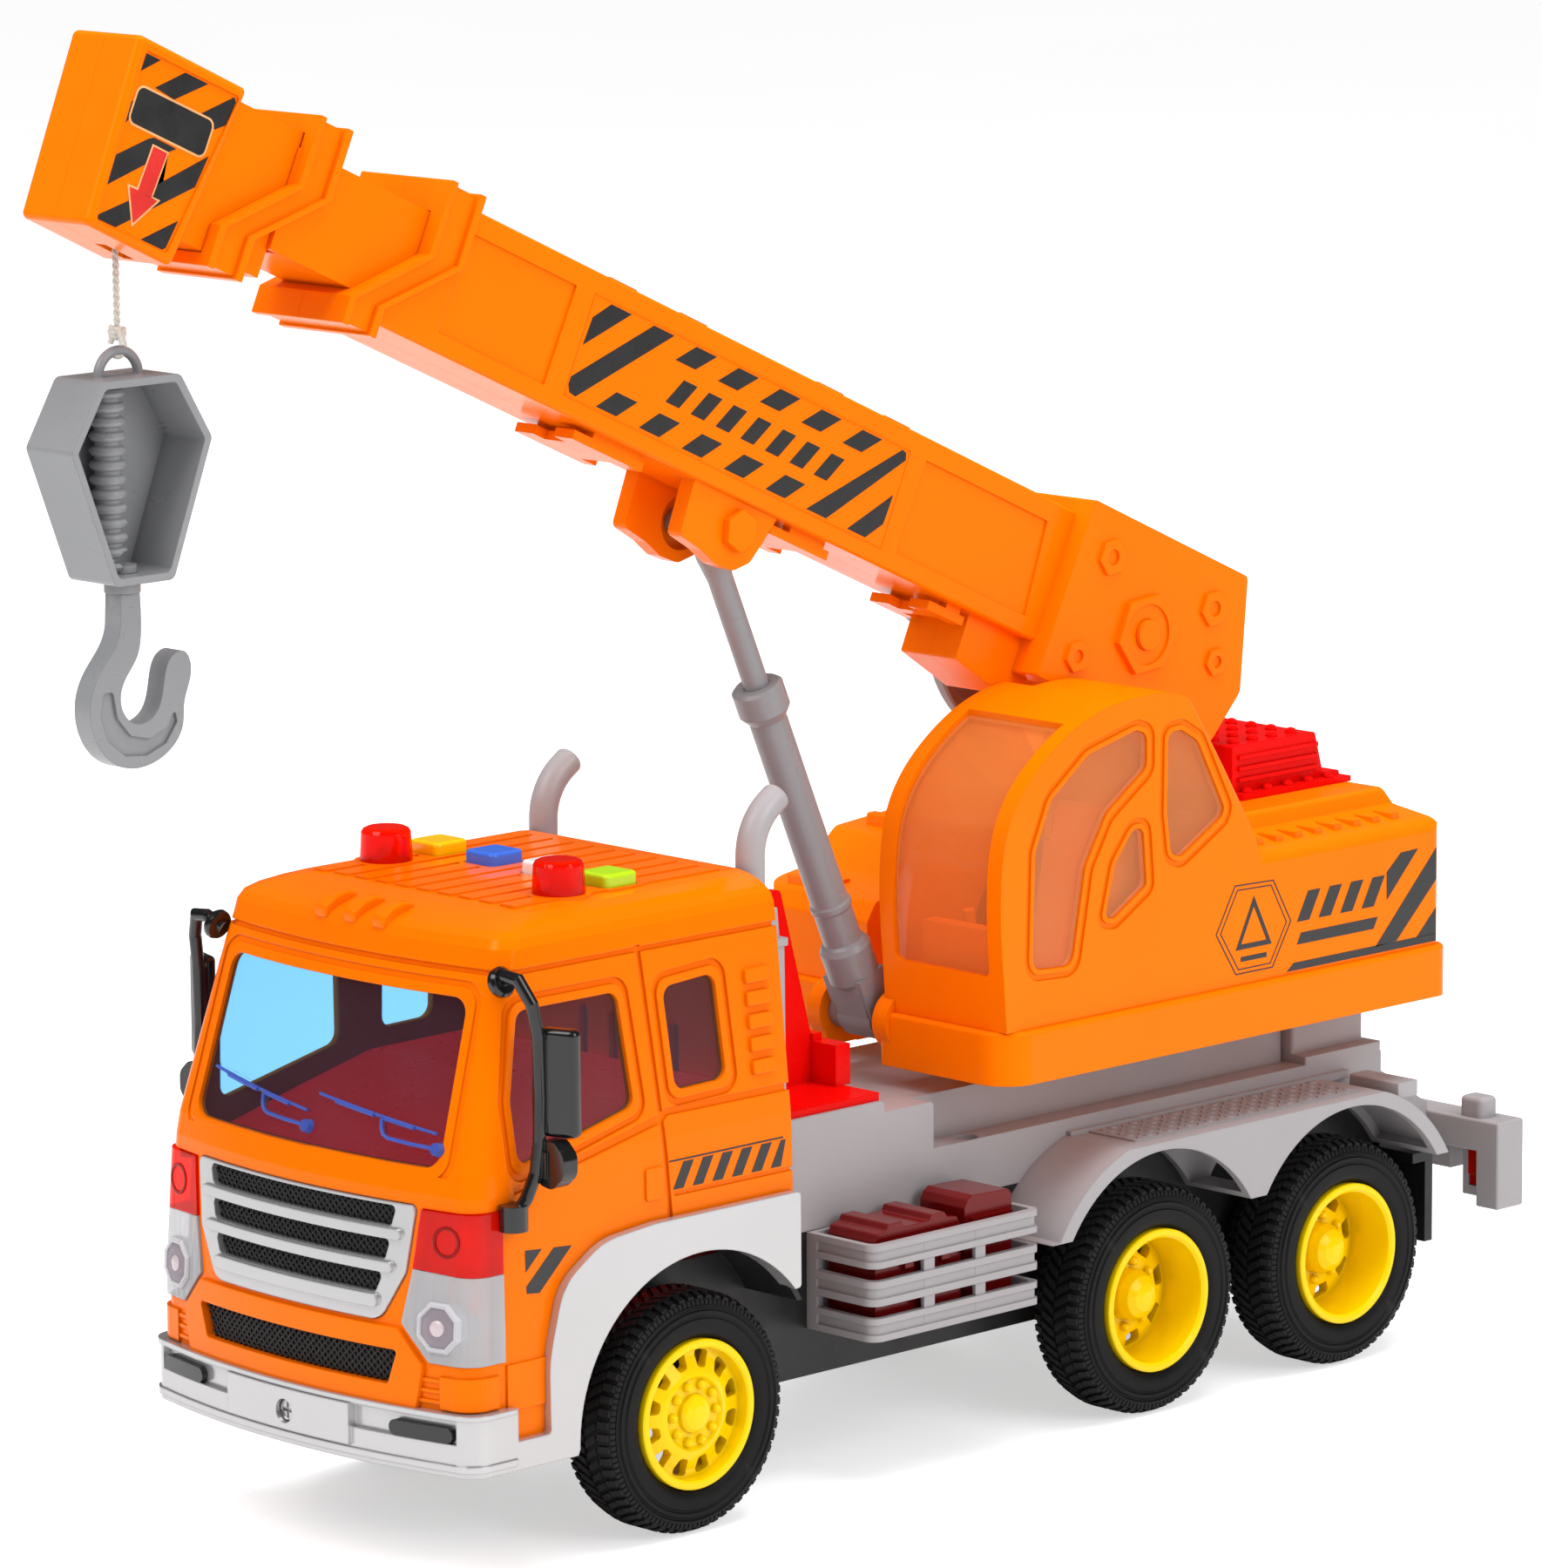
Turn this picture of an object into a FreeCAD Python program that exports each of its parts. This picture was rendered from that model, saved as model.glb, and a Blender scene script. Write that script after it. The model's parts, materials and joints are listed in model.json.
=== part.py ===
import FreeCAD, Part
import math
import os

# Toy crane truck: three axles, cab with roof buttons, slewing house, telescopic boom with
# lift ram, winch, string, hook block and hook. Millimetres, +Z up, ground at z = 0.
# Working frame: front axle at y = 0, nose towards -Y, +X = the truck's left side.
# Export moves every shape by (0, -MID_Y, 0), so the origin is the middle of the footprint.

Vec = FreeCAD.Vector
os.makedirs("parts", exist_ok=True)

# ---------------------------------------------------------------- driving dimensions
MID_Y = 78.65                    # middle of the whole object in the working frame
FIT = 0.06                       # radial clearance of the turning joints
TYRE_R = 28.0
AXLE_R = 2.0
AXLE_BORE = AXLE_R + FIT
AXLE_Z = TYRE_R
MID_AXLE_Y, REAR_AXLE_Y = 151.7, 219.3
FRAME_HALF = 33.0                # chassis half width
FRAME_BOT, FRAME_TOP = 23.7, 58.0
FLOOR_TOP = FRAME_BOT + 2.0
BED_TOP = 71.0
CAB_REAR = 31.0
NOSE_HALF = 54.9                 # half width of the bumper
BOW = 7.3                        # how far the nose bows forward over NOSE_HALF
NOSE_CORNER = 6.0
SLEW_Y = 180.0
HUB_R = 8.0                      # slewing hub
SKIRT_BOT, SKIRT_TOP = 87.0, 99.8
PIVOT_Y, PIVOT_Z = 183.5, 181.6  # boom pivot
ELEVATION = 24.5                 # boom angle at rest, degrees
RAM_Y, RAM_Z = 107.0, 97.0       # ram foot pivot
LUG = (133.7, -18.9)             # ram head in boom coordinates (along, up)
ROD_R, ROD_BORE = 3.05, 3.12
TRUNNION_R = 4.3
PIN_R = 3.0
STRING_EXIT = (323.8, -19.6)     # in boom coordinates
SCREW_PLACES = [(x, y) for y in (-45, 110, 240) for x in (-24, 24)]


# ---------------------------------------------------------------- helpers
def box(x0, y0, z0, x1, y1, z1):
    return Part.makeBox(x1 - x0, y1 - y0, z1 - z0, Vec(x0, y0, z0))


def cyl(radius, start, end):
    start, end = Vec(*start), Vec(*end)
    return Part.makeCylinder(radius, (end - start).Length, start, end - start)


def cylx(radius, x0, x1, y, z):
    return Part.makeCylinder(radius, x1 - x0, Vec(x0, y, z), Vec(1, 0, 0))


def cylz(radius, z0, z1, x, y):
    return Part.makeCylinder(radius, z1 - z0, Vec(x, y, z0), Vec(0, 0, 1))


def rect(a0, b0, a1, b1):
    return [(a0, b0), (a1, b0), (a1, b1), (a0, b1)]


def square(x, y, half):
    return rect(x - half, y - half, x + half, y + half)


def polar(y, z, radius, degrees):
    angle = math.radians(degrees)
    return (y + radius * math.cos(angle), z + radius * math.sin(angle))


def arc_points(y, z, radius, start, end, steps):
    return [polar(y, z, radius, start + (end - start) * i / steps) for i in range(steps + 1)]


def round_wire(points, radius, place):
    """Closed wire through 2-D points, corners rounded by radius (a number or one per point)."""
    count = len(points)
    radii = radius if isinstance(radius, (list, tuple)) else [radius] * count
    flat = [Vec(a, b, 0) for a, b in points]
    corners = []
    for i, corner in enumerate(flat):
        back = flat[i - 1] - corner
        ahead = flat[(i + 1) % count] - corner
        angle = back.getAngle(ahead)
        if radii[i] <= 1e-6 or angle > math.pi - 1e-3:
            corners.append((corner, None, corner))
            continue
        half_tan = math.tan(angle / 2)
        run = min(radii[i] / half_tan, back.Length * 0.48, ahead.Length * 0.48)
        arc_radius = run * half_tan
        back.normalize()
        ahead.normalize()
        inward = back + ahead
        inward.normalize()
        middle = corner + inward * (arc_radius / math.sin(angle / 2) - arc_radius)
        corners.append((corner + back * run, middle, corner + ahead * run))
    edges = []
    for i, (start, middle, end) in enumerate(corners):
        if middle is not None:
            edges.append(Part.Arc(place(start), place(middle), place(end)).toShape())
        following = corners[(i + 1) % count][0]
        if (end - following).Length > 1e-5:
            edges.append(Part.makeLine(place(end), place(following)))
    return Part.Wire(edges)


def prism_x(points, x0, x1, radius=0.0):
    """(y, z) outline extruded along X."""
    wire = round_wire(points, radius, lambda p: Vec(x0, p.x, p.y))
    return Part.Face(wire).extrude(Vec(x1 - x0, 0, 0))


def prism_y(points, y0, y1, radius=0.0):
    """(x, z) outline extruded along Y."""
    wire = round_wire(points, radius, lambda p: Vec(p.x, y0, p.y))
    return Part.Face(wire).extrude(Vec(0, y1 - y0, 0))


def prism_z(points, z0, z1, radius=0.0):
    """(x, y) outline extruded along Z."""
    wire = round_wire(points, radius, lambda p: Vec(p.x, p.y, z0))
    return Part.Face(wire).extrude(Vec(0, 0, z1 - z0))


def smooth_x(points, x0, x1, corners):
    """(y, z) outline, a smooth line through points closed by straight runs through corners."""
    curve = Part.BSplineCurve()
    curve.interpolate([Vec(x0, y, z) for y, z in points])
    closing = Part.makePolygon([Vec(x0, y, z) for y, z in [points[-1]] + corners + [points[0]]])
    face = Part.Face(Part.Wire([curve.toShape()] + closing.Edges))
    return face.extrude(Vec(x1 - x0, 0, 0))


def rev_x(points, y, z):
    """(x, r) outline turned about the X line through (y, z)."""
    wire = Part.makePolygon([Vec(p[0], y, z + p[1]) for p in points + points[:1]])
    return Part.Face(wire).revolve(Vec(0, y, z), Vec(1, 0, 0), 360)


def rev_z(points, x, y):
    """(r, z) outline turned about the Z line through (x, y)."""
    wire = Part.makePolygon([Vec(x + p[0], y, p[1]) for p in points + points[:1]])
    return Part.Face(wire).revolve(Vec(x, y, 0), Vec(0, 0, 1), 360)


def grow(points, distance):
    """2-D outline with every side moved outwards by distance."""
    sides = list(zip(points[-1:] + points[:-1], points))
    turn = math.copysign(1.0, sum(p[0] * q[1] - q[0] * p[1] for p, q in sides))
    lines = []
    for start, end in sides:
        length = math.dist(start, end)
        x = turn * (end[1] - start[1]) / length
        y = turn * (start[0] - end[0]) / length
        lines.append((x, y, x * end[0] + y * end[1] + distance))
    corners = []
    for (x1, y1, reach1), (x2, y2, reach2) in zip(lines, lines[1:] + lines[:1]):
        det = x1 * y2 - y1 * x2
        corners.append(((reach1 * y2 - reach2 * y1) / det, (x1 * reach2 - x2 * reach1) / det))
    return corners


def fuse(shapes):
    joined = shapes[0].multiFuse(shapes[1:])
    # Merging split faces only tidies the shape; the plain fusion stands if the kernel refuses.
    try:
        joined = joined.removeSplitter()
    except Exception:
        pass
    return joined


def largest(shape):
    """The largest solid of a boolean result."""
    return max(shape.Solids, key=lambda part: part.Volume)


def clean(shape):
    return largest(shape.removeSplitter())


def both(*shapes):
    """The shapes, then their mirror images on the other side of x = 0."""
    return list(shapes) + [s.mirror(Vec(0, 0, 0), Vec(1, 0, 0)) for s in shapes]


def near(value, *targets):
    return any(abs(value - target) < 0.05 for target in targets)


def try_fillet(shape, radius, edges):
    # The kernel may raise on edges it cannot round.
    try:
        rounded = shape.makeFillet(radius, edges)
        if rounded.isValid() and rounded.Volume > 0:
            return rounded
    except Exception:
        pass
    return None


def soft(shape, radius, pick):
    """Rounds the edges that pick() selects, all at once or else edge by edge."""
    edges = [edge for edge in shape.Edges if pick(edge)]
    if not edges:
        return shape
    rounded = try_fillet(shape, radius, edges)
    if rounded is not None:
        return rounded
    for wanted in edges:
        for edge in shape.Edges:
            if (edge.CenterOfMass - wanted.CenterOfMass).Length < 1e-3:
                rounded = try_fillet(shape, radius, [edge])
                if rounded is not None:
                    shape = rounded
                break
    return shape


def put(name, *shapes):
    """Writes one node. Several shapes mean several separate solids."""
    solids = [part for shape in shapes for part in shape.Solids]
    node = solids[0] if len(solids) == 1 else Part.makeCompound(solids)
    node = node.copy()
    node.translate(Vec(0, -MID_Y, 0))
    node.exportStep("parts/%s.step" % name)


# ---------------------------------------------------------------- nose and cab volume
def nose_wire(z, front_y, half, rear_y, off=0.0):
    """Plan outline at height z: bowed front, rounded corners, straight sides, square back."""
    half, front_y, rear_y = half + off, front_y - off, rear_y + off
    bow_x = half - NOSE_CORNER
    bow_y = front_y + BOW * (bow_x / NOSE_HALF) ** 2
    side_y = front_y + BOW * (half / NOSE_HALF) ** 2 + NOSE_CORNER * 0.92
    slope = 2 * BOW * bow_x / NOSE_HALF ** 2
    # middle point of the corner arc
    arc_x = half - NOSE_CORNER * 0.27
    arc_y = bow_y + (side_y - bow_y) * 0.27 + slope * 0.15 * NOSE_CORNER
    right, left = Vec(-bow_x, bow_y, z), Vec(bow_x, bow_y, z)
    left_side, right_side = Vec(half, side_y, z), Vec(-half, side_y, z)
    left_rear, right_rear = Vec(half, rear_y, z), Vec(-half, rear_y, z)
    return Part.Wire([
        Part.Arc(right, Vec(0, front_y, z), left).toShape(),
        Part.Arc(left, Vec(arc_x, arc_y, z), left_side).toShape(),
        Part.makeLine(left_side, left_rear),
        Part.makeLine(left_rear, right_rear),
        Part.makeLine(right_rear, right_side),
        Part.Arc(right_side, Vec(-arc_x, arc_y, z), right).toShape(),
    ])


# (z, front middle y, half width)
CAB_LEVELS = [
    (24.0, -74.6, 52.6), (57.0, -74.6, 52.6), (88.0, -72.4, 52.0), (93.0, -71.4, 51.7),
    (131.0, -59.6, 47.8), (136.5, -57.6, 47.2), (141.0, -56.4, 46.6), (143.0, -55.0, 45.6),
    (144.3, -52.4, 43.8), (145.5, -48.0, 41.2), (146.5, -43.0, 38.2), (147.0, -38.5, 35.0),
]
ROOF_EDGE_Z = 140    # levels above this also move up by the offset


def cab_body(off, clip=None):
    """The cab's outer volume grown by off, optionally kept between two heights."""
    body = Part.makeLoft([nose_wire(z + off if z > ROOF_EDGE_Z else z, front_y, half, CAB_REAR, off)
                          for z, front_y, half in CAB_LEVELS], True, True)
    if clip:
        body = body.common(box(-80, -120, clip[0], 80, 80, clip[1]))
    return body


def cab_skin(outer, inner):
    """The layer between two offsets of the cab's outer surface."""
    return cab_body(outer).cut(cab_body(inner))


def nose_slab(front_y, half, z0, z1, rear_y=-30.0):
    return Part.Face(nose_wire(z0, front_y, half, rear_y)).extrude(Vec(0, 0, z1 - z0))


# ================================================================ wheels
# Wheel outlines are (x, radius) for the left side.
TYRE = [
    (37.6, 16.05), (37.0, 18.5), (37.0, 23.6), (37.35, 25.6), (38.3, 27.1), (39.8, 27.9),
    (41.4, TYRE_R), (43.6, TYRE_R), (43.8, 27.3), (44.5, 27.3), (44.7, TYRE_R), (45.3, TYRE_R),
    (45.5, 27.3), (46.2, 27.3), (46.4, TYRE_R), (48.6, TYRE_R), (50.2, 27.9), (51.6, 27.2),
    (52.3, 26.4), (52.45, 25.6), (52.75, 25.5), (52.9, 24.6), (53.0, 23.4), (53.0, 20.0),
    (52.6, 18.2), (51.8, 17.45), (51.2, 17.35), (51.2, 16.05)]
# window outline: (across, outwards) from a place on a circle; nuts: count, first angle, radius
FRONT_RIM = dict(
    axle_end=51.4, sleeve_end=49.4,
    barrel=[(38.0, 14.6), (38.0, 16.05), (51.2, 16.05), (51.2, 17.35), (53.2, 17.35),
            (53.5, 17.0), (53.5, 15.7), (53.1, 15.3), (50.2, 15.0), (50.0, 14.6)],
    dish=[(49.2, 0.0), (49.2, 7.0), (48.2, 13.0), (48.2, 15.2), (50.3, 15.2), (50.3, 13.2),
          (51.7, 9.8), (52.0, 8.6), (51.2, 7.8), (51.2, 4.6), (52.2, 4.4), (53.0, 3.6),
          (53.4, 2.0), (53.5, 0.0)],
    windows=dict(count=12, phase=15, radius=12.9, x0=47.0, x1=53.0, corner=0.9,
                 outline=[(-1.2, -2.3), (1.2, -2.3), (2.35, 1.7), (-2.35, 1.7)]),
    nuts=(10, 0, 6.7),
    nut=[(50.6, 0), (50.6, 1.05), (52.1, 1.05), (52.7, 0.75), (53.0, 0.3), (53.0, 0)])
REAR_RIM = dict(
    axle_end=46.5, sleeve_end=40.0,
    barrel=[(38.0, 14.4), (38.0, 16.05), (51.2, 16.05), (51.2, 17.35), (53.2, 17.35),
            (53.5, 17.0), (53.5, 15.9), (52.9, 15.2), (47.0, 14.7), (41.0, 14.4)],
    dish=[(39.2, 0.0), (39.2, 14.6), (41.2, 14.6), (42.2, 12.0), (42.8, 9.0), (42.8, 6.4),
          (45.6, 6.1), (47.8, 5.1), (49.0, 3.4), (49.5, 1.6), (49.6, 0.0)],
    windows=dict(count=8, phase=12, radius=11.6, x0=37.0, x1=46.0, corner=0.8,
                 outline=[(-2.0, -1.7), (2.0, -1.7), (2.7, 1.7), (-2.7, 1.7)]),
    nuts=(8, 34.5, 8.0),
    nut=[(41.5, 0), (41.5, 1.1), (43.8, 1.1), (44.4, 0.8), (44.7, 0.3), (44.7, 0)])


def rim_windows(y, count, phase, radius, x0, x1, corner, outline):
    tools = []
    for k in range(count):
        angle = math.radians(phase + 360.0 * k / count)
        cosine, sine = math.cos(angle), math.sin(angle)
        points = [(y + (radius + out) * cosine - across * sine,
                   AXLE_Z + (radius + out) * sine + across * cosine) for across, out in outline]
        tools.append(prism_x(points, x0, x1, corner))
    return tools


def rim(style, y):
    shape = rev_x(style["barrel"], y, AXLE_Z).fuse([
        rev_x(style["dish"], y, AXLE_Z), cylx(4.2, 35.2, style["sleeve_end"], y, AXLE_Z)])
    shape = shape.cut(rim_windows(y, **style["windows"]))
    count, phase, radius = style["nuts"]
    shape = shape.fuse([rev_x(style["nut"], *polar(y, AXLE_Z, radius, phase + 360.0 * k / count))
                        for k in range(count)])
    return clean(shape.cut(cylx(AXLE_R, 30, style["axle_end"], y, AXLE_Z)))


for name, y, style in (("front", 0.0, FRONT_RIM), ("mid", MID_AXLE_Y, REAR_RIM),
                       ("rear", REAR_AXLE_Y, REAR_RIM)):
    put(name + "_tyres", *both(rev_x(TYRE, y, AXLE_Z)))
    put(name + "_rims", *both(rim(style, y)))
    put(name + "_axle", cylx(AXLE_R, -style["axle_end"], style["axle_end"], y, AXLE_Z))

# ================================================================ chassis frame
frame = box(-FRAME_HALF, -60, FRAME_BOT, FRAME_HALF, 253.5, FRAME_TOP)
frame = frame.cut(box(-FRAME_HALF + 2.6, -57.4, FLOOR_TOP, FRAME_HALF - 2.6, 251, FRAME_TOP + 1))
frame_parts = [frame]
for y in (0.0, MID_AXLE_Y, REAR_AXLE_Y):
    frame_parts += both(cylx(5.0, 26.5, FRAME_HALF, y, AXLE_Z + 0.7))
# inner mudguards over the front wheels
guard = cylx(41.0, 33.0, 50.2, 0, AXLE_Z).cut(cylx(39.6, 32.0, 51.0, 0, AXLE_Z))
frame_parts += both(guard.common(box(32, -60, 48.0, 51, 60, 72)))
# rear mud flaps and their brackets
frame_parts += both(prism_x([(254.6, 24.0), (257.4, 24.0), (257.4, 47.0), (250.0, 47.0),
                             (250.0, 44.5), (254.6, 44.5)], 30.6, 47.0))
# cross ribs
for y, top in ((44.0, 44.0), (96.0, 44.0), (-30.0, 40.0), (128.0, 44.0), (196.0, 44.0)):
    frame_parts.append(box(-30.6, y, 24.5, 30.6, y + 2.0, top))
frame = fuse(frame_parts)
frame = frame.cut([cylx(AXLE_BORE, -60, 60, y, AXLE_Z) for y in (0.0, MID_AXLE_Y, REAR_AXLE_Y)]
                  + [box(-26.5, 46.0, 20.0, 26.5, 96.0, 27.0)])    # battery door opening
frame = frame.fuse([cylz(3.6, FRAME_BOT + 1.0, FRAME_TOP, x, y) for x, y in SCREW_PLACES])
frame = frame.cut([cylz(1.6, 20, 60, x, y) for x, y in SCREW_PLACES])
# bulge under the drive gear, and a shallow pocket under the second gear
frame = frame.fuse(prism_x([(138.0, 25.0), (138.0, 19.0), (141.5, 15.6), (162.0, 15.6),
                            (165.5, 19.0), (165.5, 25.0)], -11.2, -2.8, [0, 1.5, 1.5, 1.5, 1.5, 0]))
frame = frame.cut([prism_x([(139.6, 30.0), (139.6, 20.0), (142.4, 16.9), (161.0, 16.9),
                            (163.8, 20.0), (163.8, 30.0)], -9.9, -4.1),
                   box(-4.3, 149.0, 24.7, 0.3, 178.0, 30.0),
                   cylx(AXLE_BORE, -30, 30, MID_AXLE_Y, AXLE_Z)])
frame = clean(frame)
put("chassis_frame", frame)

# battery door with its catch and two grip ribs
door = prism_z(rect(-26.2, 46.3, 26.2, 95.7), FRAME_BOT, FLOOR_TOP, 2.0)
catch = box(-6, 44.9, FLOOR_TOP, 6, 50.0, FRAME_BOT + 3.4)
door = door.fuse([catch.cut(box(-7, 44.0, 20, 7, 46.3, FLOOR_TOP))]
                 + [box(-9, y, FRAME_BOT - 0.8, 9, y + 1.2, FRAME_BOT + 0.5) for y in (93.0, 90.6)])
put("battery_door", clean(door.cut(frame)))
CELL_Z = 34.6
put("battery_cells", *[cylx(7.0, -24.6, 24.0, y, CELL_Z).fuse(cylx(2.6, 24.0, 25.2, y, CELL_Z))
                       for y in (54.8 + 16.2 * k for k in range(3))])

# ================================================================ bed, fenders, turntable seat
BED_FRONT = CAB_REAR + 0.6
deck = prism_x([(BED_FRONT, FRAME_TOP), (253.7, FRAME_TOP), (253.7, BED_TOP), (241.0, BED_TOP),
                (96.0, BED_TOP), (96.0, 82.3), (79.8, 82.3), (79.8, 85.0), (BED_FRONT, 85.0)],
               -FRAME_HALF, FRAME_HALF, [0, 0, 0.8, 0, 0, 1.2, 0.3, 1.2, 0])
deck = deck.cut(prism_x([(34.0, 50.0), (251.0, 50.0), (251.0, 68.6), (93.6, 68.6), (93.6, 80.0),
                         (77.4, 80.0), (77.4, 82.6), (34.0, 82.6)], -30.6, 30.6))
plinth = fuse([prism_z(rect(-25.5, 94.0, 25.5, 226.0), 68.6, 82.0, 1.5),
               prism_z(rect(-28.5, 226.0, 28.5, 252.0), 68.6, 84.0, 1.0)])
plinth = plinth.cut([box(-23.4, 93.6, 60, 23.4, 223.6, 79.6),
                     box(-26.0, 228.4, 60, 26.0, 249.6, 81.6)])
ledge = prism_z(rect(25.0, 226.0, FRAME_HALF, 253.7), BED_TOP, 73.0, 0.6)


def fender():
    """Left fender over the two rear wheels, hollowed behind its inner web."""
    top = ([(113.6, 47.9)] + arc_points(MID_AXLE_Y, AXLE_Z, 40.6, 150.0, 106.6, 14)
           + arc_points(REAR_AXLE_Y, AXLE_Z, 40.6, 73.4, 29.6, 14) + [(254.6, 47.9)])
    low = (arc_points(REAR_AXLE_Y, AXLE_Z, 36.9, 32.6, 147.2, 30)
           + arc_points(MID_AXLE_Y, AXLE_Z, 36.9, 32.8, 147.4, 30))
    low[0] = (250.4, 47.9)
    low[-1] = (120.6, 47.9)
    shape = prism_x(top + low, FRAME_HALF, 54.6)
    hollows = []
    for axle_y, y0, y1 in ((MID_AXLE_Y, 100, 186), (REAR_AXLE_Y, 186, 262)):
        sector = arc_points(axle_y, AXLE_Z, 39.2, 35.0, 145.0, 28) + [(axle_y, AXLE_Z)]
        hollows.append(prism_x(sector, 35.0, 52.4).common(box(30, y0, 49.5, 60, y1, 65.3)))
    hollows.append(box(35.0, 172.0, 49.5, 52.4, 199.0, 64.4))
    shape = shape.cut(hollows)
    shape = shape.fuse([prism_z(rect(34.5, 147.0, 50.0, 227.0), 66.4, 67.3, 0.6),
                        prism_z(rect(33.0, 141.0, 34.5, 240.0), 66.0, 68.0)])
    return shape.fuse(prism_x(rect(236.5, 64.0, 243.5, 68.0), 38.0, 54.0, 0.5))


gusset = prism_x([(252.0, 46.0), (285.9, 46.0), (285.9, 50.4), (253.5, 70.6), (252.0, 70.6)],
                 17.4, 20.0)
tongue = [box(-20.0, 252.0, 46.0, 20.0, 285.9, 49.5)] + both(gusset)
slew_seat = [cylz(30.0, 81.5, 86.6, 0, SLEW_Y).cut(cylz(26.5, 80, 88.6, 0, SLEW_Y)),
             cylz(HUB_R, 79.0, 91.3, 0, SLEW_Y),
             cylz(29.0, 86.0, 88.3, 0, SLEW_Y).cut(cylz(26.5, 80, 89, 0, SLEW_Y))]
bed = fuse([deck, plinth] + both(ledge) + both(fender()) + tongue + slew_seat)
bed = bed.cut([cylz(2.0, 75, 95, 0, SLEW_Y), box(-33, 252.0, 40, 33, 253.6, 57.99),
               cylz(3.2, 69.0, 72.0, -29.5, 110), cylz(3.2, 69.0, 72.0, 29.5, 110)])
bed = clean(bed.cut(frame))
put("bed", bed)
put("turntable_screw", rev_z([(0, 80.5), (1.6, 80.5), (2.0, 82.0), (2.0, 91.3), (11.0, 91.3),
                              (11.0, 92.6), (10.0, 93.4), (4.2, 93.4), (4.0, 95.0), (1.2, 95.0),
                              (1.2, 93.8), (0, 93.8)], 0, SLEW_Y))

# rear light beam: box beam, two end posts, lamp housings, two knobs on top
BEAM_HALF, BEAM_TOP, KNOB_TOP = 43.6, 48.4, 53.6
post = prism_x(rect(286.0, 26.0, 296.0, BEAM_TOP), 36.6, BEAM_HALF, 0.7)
housing = prism_x(rect(289.0, 27.8, 296.0, 42.0), 29.5, 37.0, 0.4)
housing = housing.cut(box(31.5, 285.0, 30.4, 36.6, 291.4, 40.0))
knob = prism_z(rect(29.5, 287.0, 37.5, 293.5), 48.0, KNOB_TOP, 2.0)
knob = soft(knob, 1.3, lambda edge: near(edge.CenterOfMass.z, KNOB_TOP))
light_bar = largest(fuse([prism_x(rect(286.0, 40.2, 296.0, BEAM_TOP), -BEAM_HALF, BEAM_HALF, 0.7)]
                         + both(post, housing, knob)
                         + [prism_x(rect(288.0, 34.0, 294.0, 41.0), -26.0, 26.0, 0.4)]))
light_bar = soft(light_bar, 0.7, lambda edge: near(abs(edge.CenterOfMass.x), BEAM_HALF))
put("rear_light_bar", light_bar)
tail_light = prism_z(rect(31.6, 288.4, 36.5, 291.3), 30.5, 39.9, 0.3)
tail_light = tail_light.cut(prism_y([(35.0, 30.0), (31.0, 30.0), (31.0, 33.4), (35.0, 33.4)],
                                    286.0, 289.3, 0.2))
put("tail_lights", *both(tail_light))

# ================================================================ cab shell
# front outlines (x, z)
WINDSCREEN = [(-41.4, 93.6), (41.4, 93.6), (39.6, 130.2), (-39.6, 130.2)]
LOWER = [(-30.8, 44.6), (30.8, 44.6), (33.6, 52.6), (-33.6, 52.6)]
GRILLE = [(-37.0, 85.4), (37.0, 85.4), (34.8, 70.0), (28.0, 58.4), (-28.0, 58.4), (-34.8, 70.0)]
GRILLE_CORNERS = [1.5, 1.5, 3, 5, 5, 3]
LAMP = [(38.2, 84.8), (60.0, 84.8), (60.0, 50.6), (41.6, 50.6), (34.0, 58.8), (36.4, 70.0)]
# side outlines (y, z): front and rear side window
SIDE_WINDOWS = [
    [(-52.6, 93.2), (-16.8, 101.5), (-19.4, 127.6), (-49.6, 127.6), (-53.6, 108.0)],
    [(-4.0, 103.0), (12.0, 103.4), (10.6, 127.6), (-5.6, 126.6)]]
BUTTON_NAMES = ["yellow", "blue", "white", "green"]
BUTTON_X = [-28.5, -9.5, 9.5, 28.5]
BUTTON_Y = -3.5
BEACON = (29.1, -19.0)
front_zone = box(-70, -100, 20, 70, -58, 160)

shell = cab_body(0.0).cut(cab_body(-2.0).fuse(box(-50.4, -60.0, 0, 50.4, CAB_REAR - 2.0, 30.0)))
shell = shell.common(box(-70, -100, 31.0, 70, 60, 160))
shell = shell.cut(both(cylx(40.4, 40, 70, 0, AXLE_Z))
                  + [box(-70, 26.0, 20, 70, 40, 58.05), box(-31.5, 28.0, 20, 31.5, 40, 85.05),
                     box(-70, -43.0, 20, 70, 40, 53.0)])
# thick backing behind the grille so its recesses stay closed
backing = cab_body(-1.0, (42.0, 92.0)).cut(cab_body(-5.0)).common(box(-52, -90, 42, 52, -58, 91.0))
shell = fuse([shell, backing])
slots = [prism_y(rect(x - 1.5, 96.0, x + 1.5, 108.7), 26.0, 34.0, 1.4)
         for x in (-15.4, -5.2, 5.2, 15.4)]
shell = shell.cut([prism_y(WINDSCREEN, -90, -20, 4.0)]
                  + [prism_x(window, -70, 70, 3.0) for window in SIDE_WINDOWS] + slots)

# grooves round the windows
deep_skin = cab_skin(3.0, -0.7)
shallow_skin = cab_skin(3.0, -0.45)
grooves = []
for window in SIDE_WINDOWS:
    groove = prism_x(grow(window, 3.4), -70, 70, 4.6).cut(
        prism_x(grow(window, 1.9), -70, 70, 3.6))
    grooves.append(deep_skin.common(groove))
groove = prism_y(grow(WINDSCREEN, 3.6), -90, -20, 5.2).cut(
    prism_y(grow(WINDSCREEN, 2.2), -91, -19, 4.4))
grooves.append(shallow_skin.common(groove.common(box(-60, -90, 92, 60, -20, 136.4))))
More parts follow.
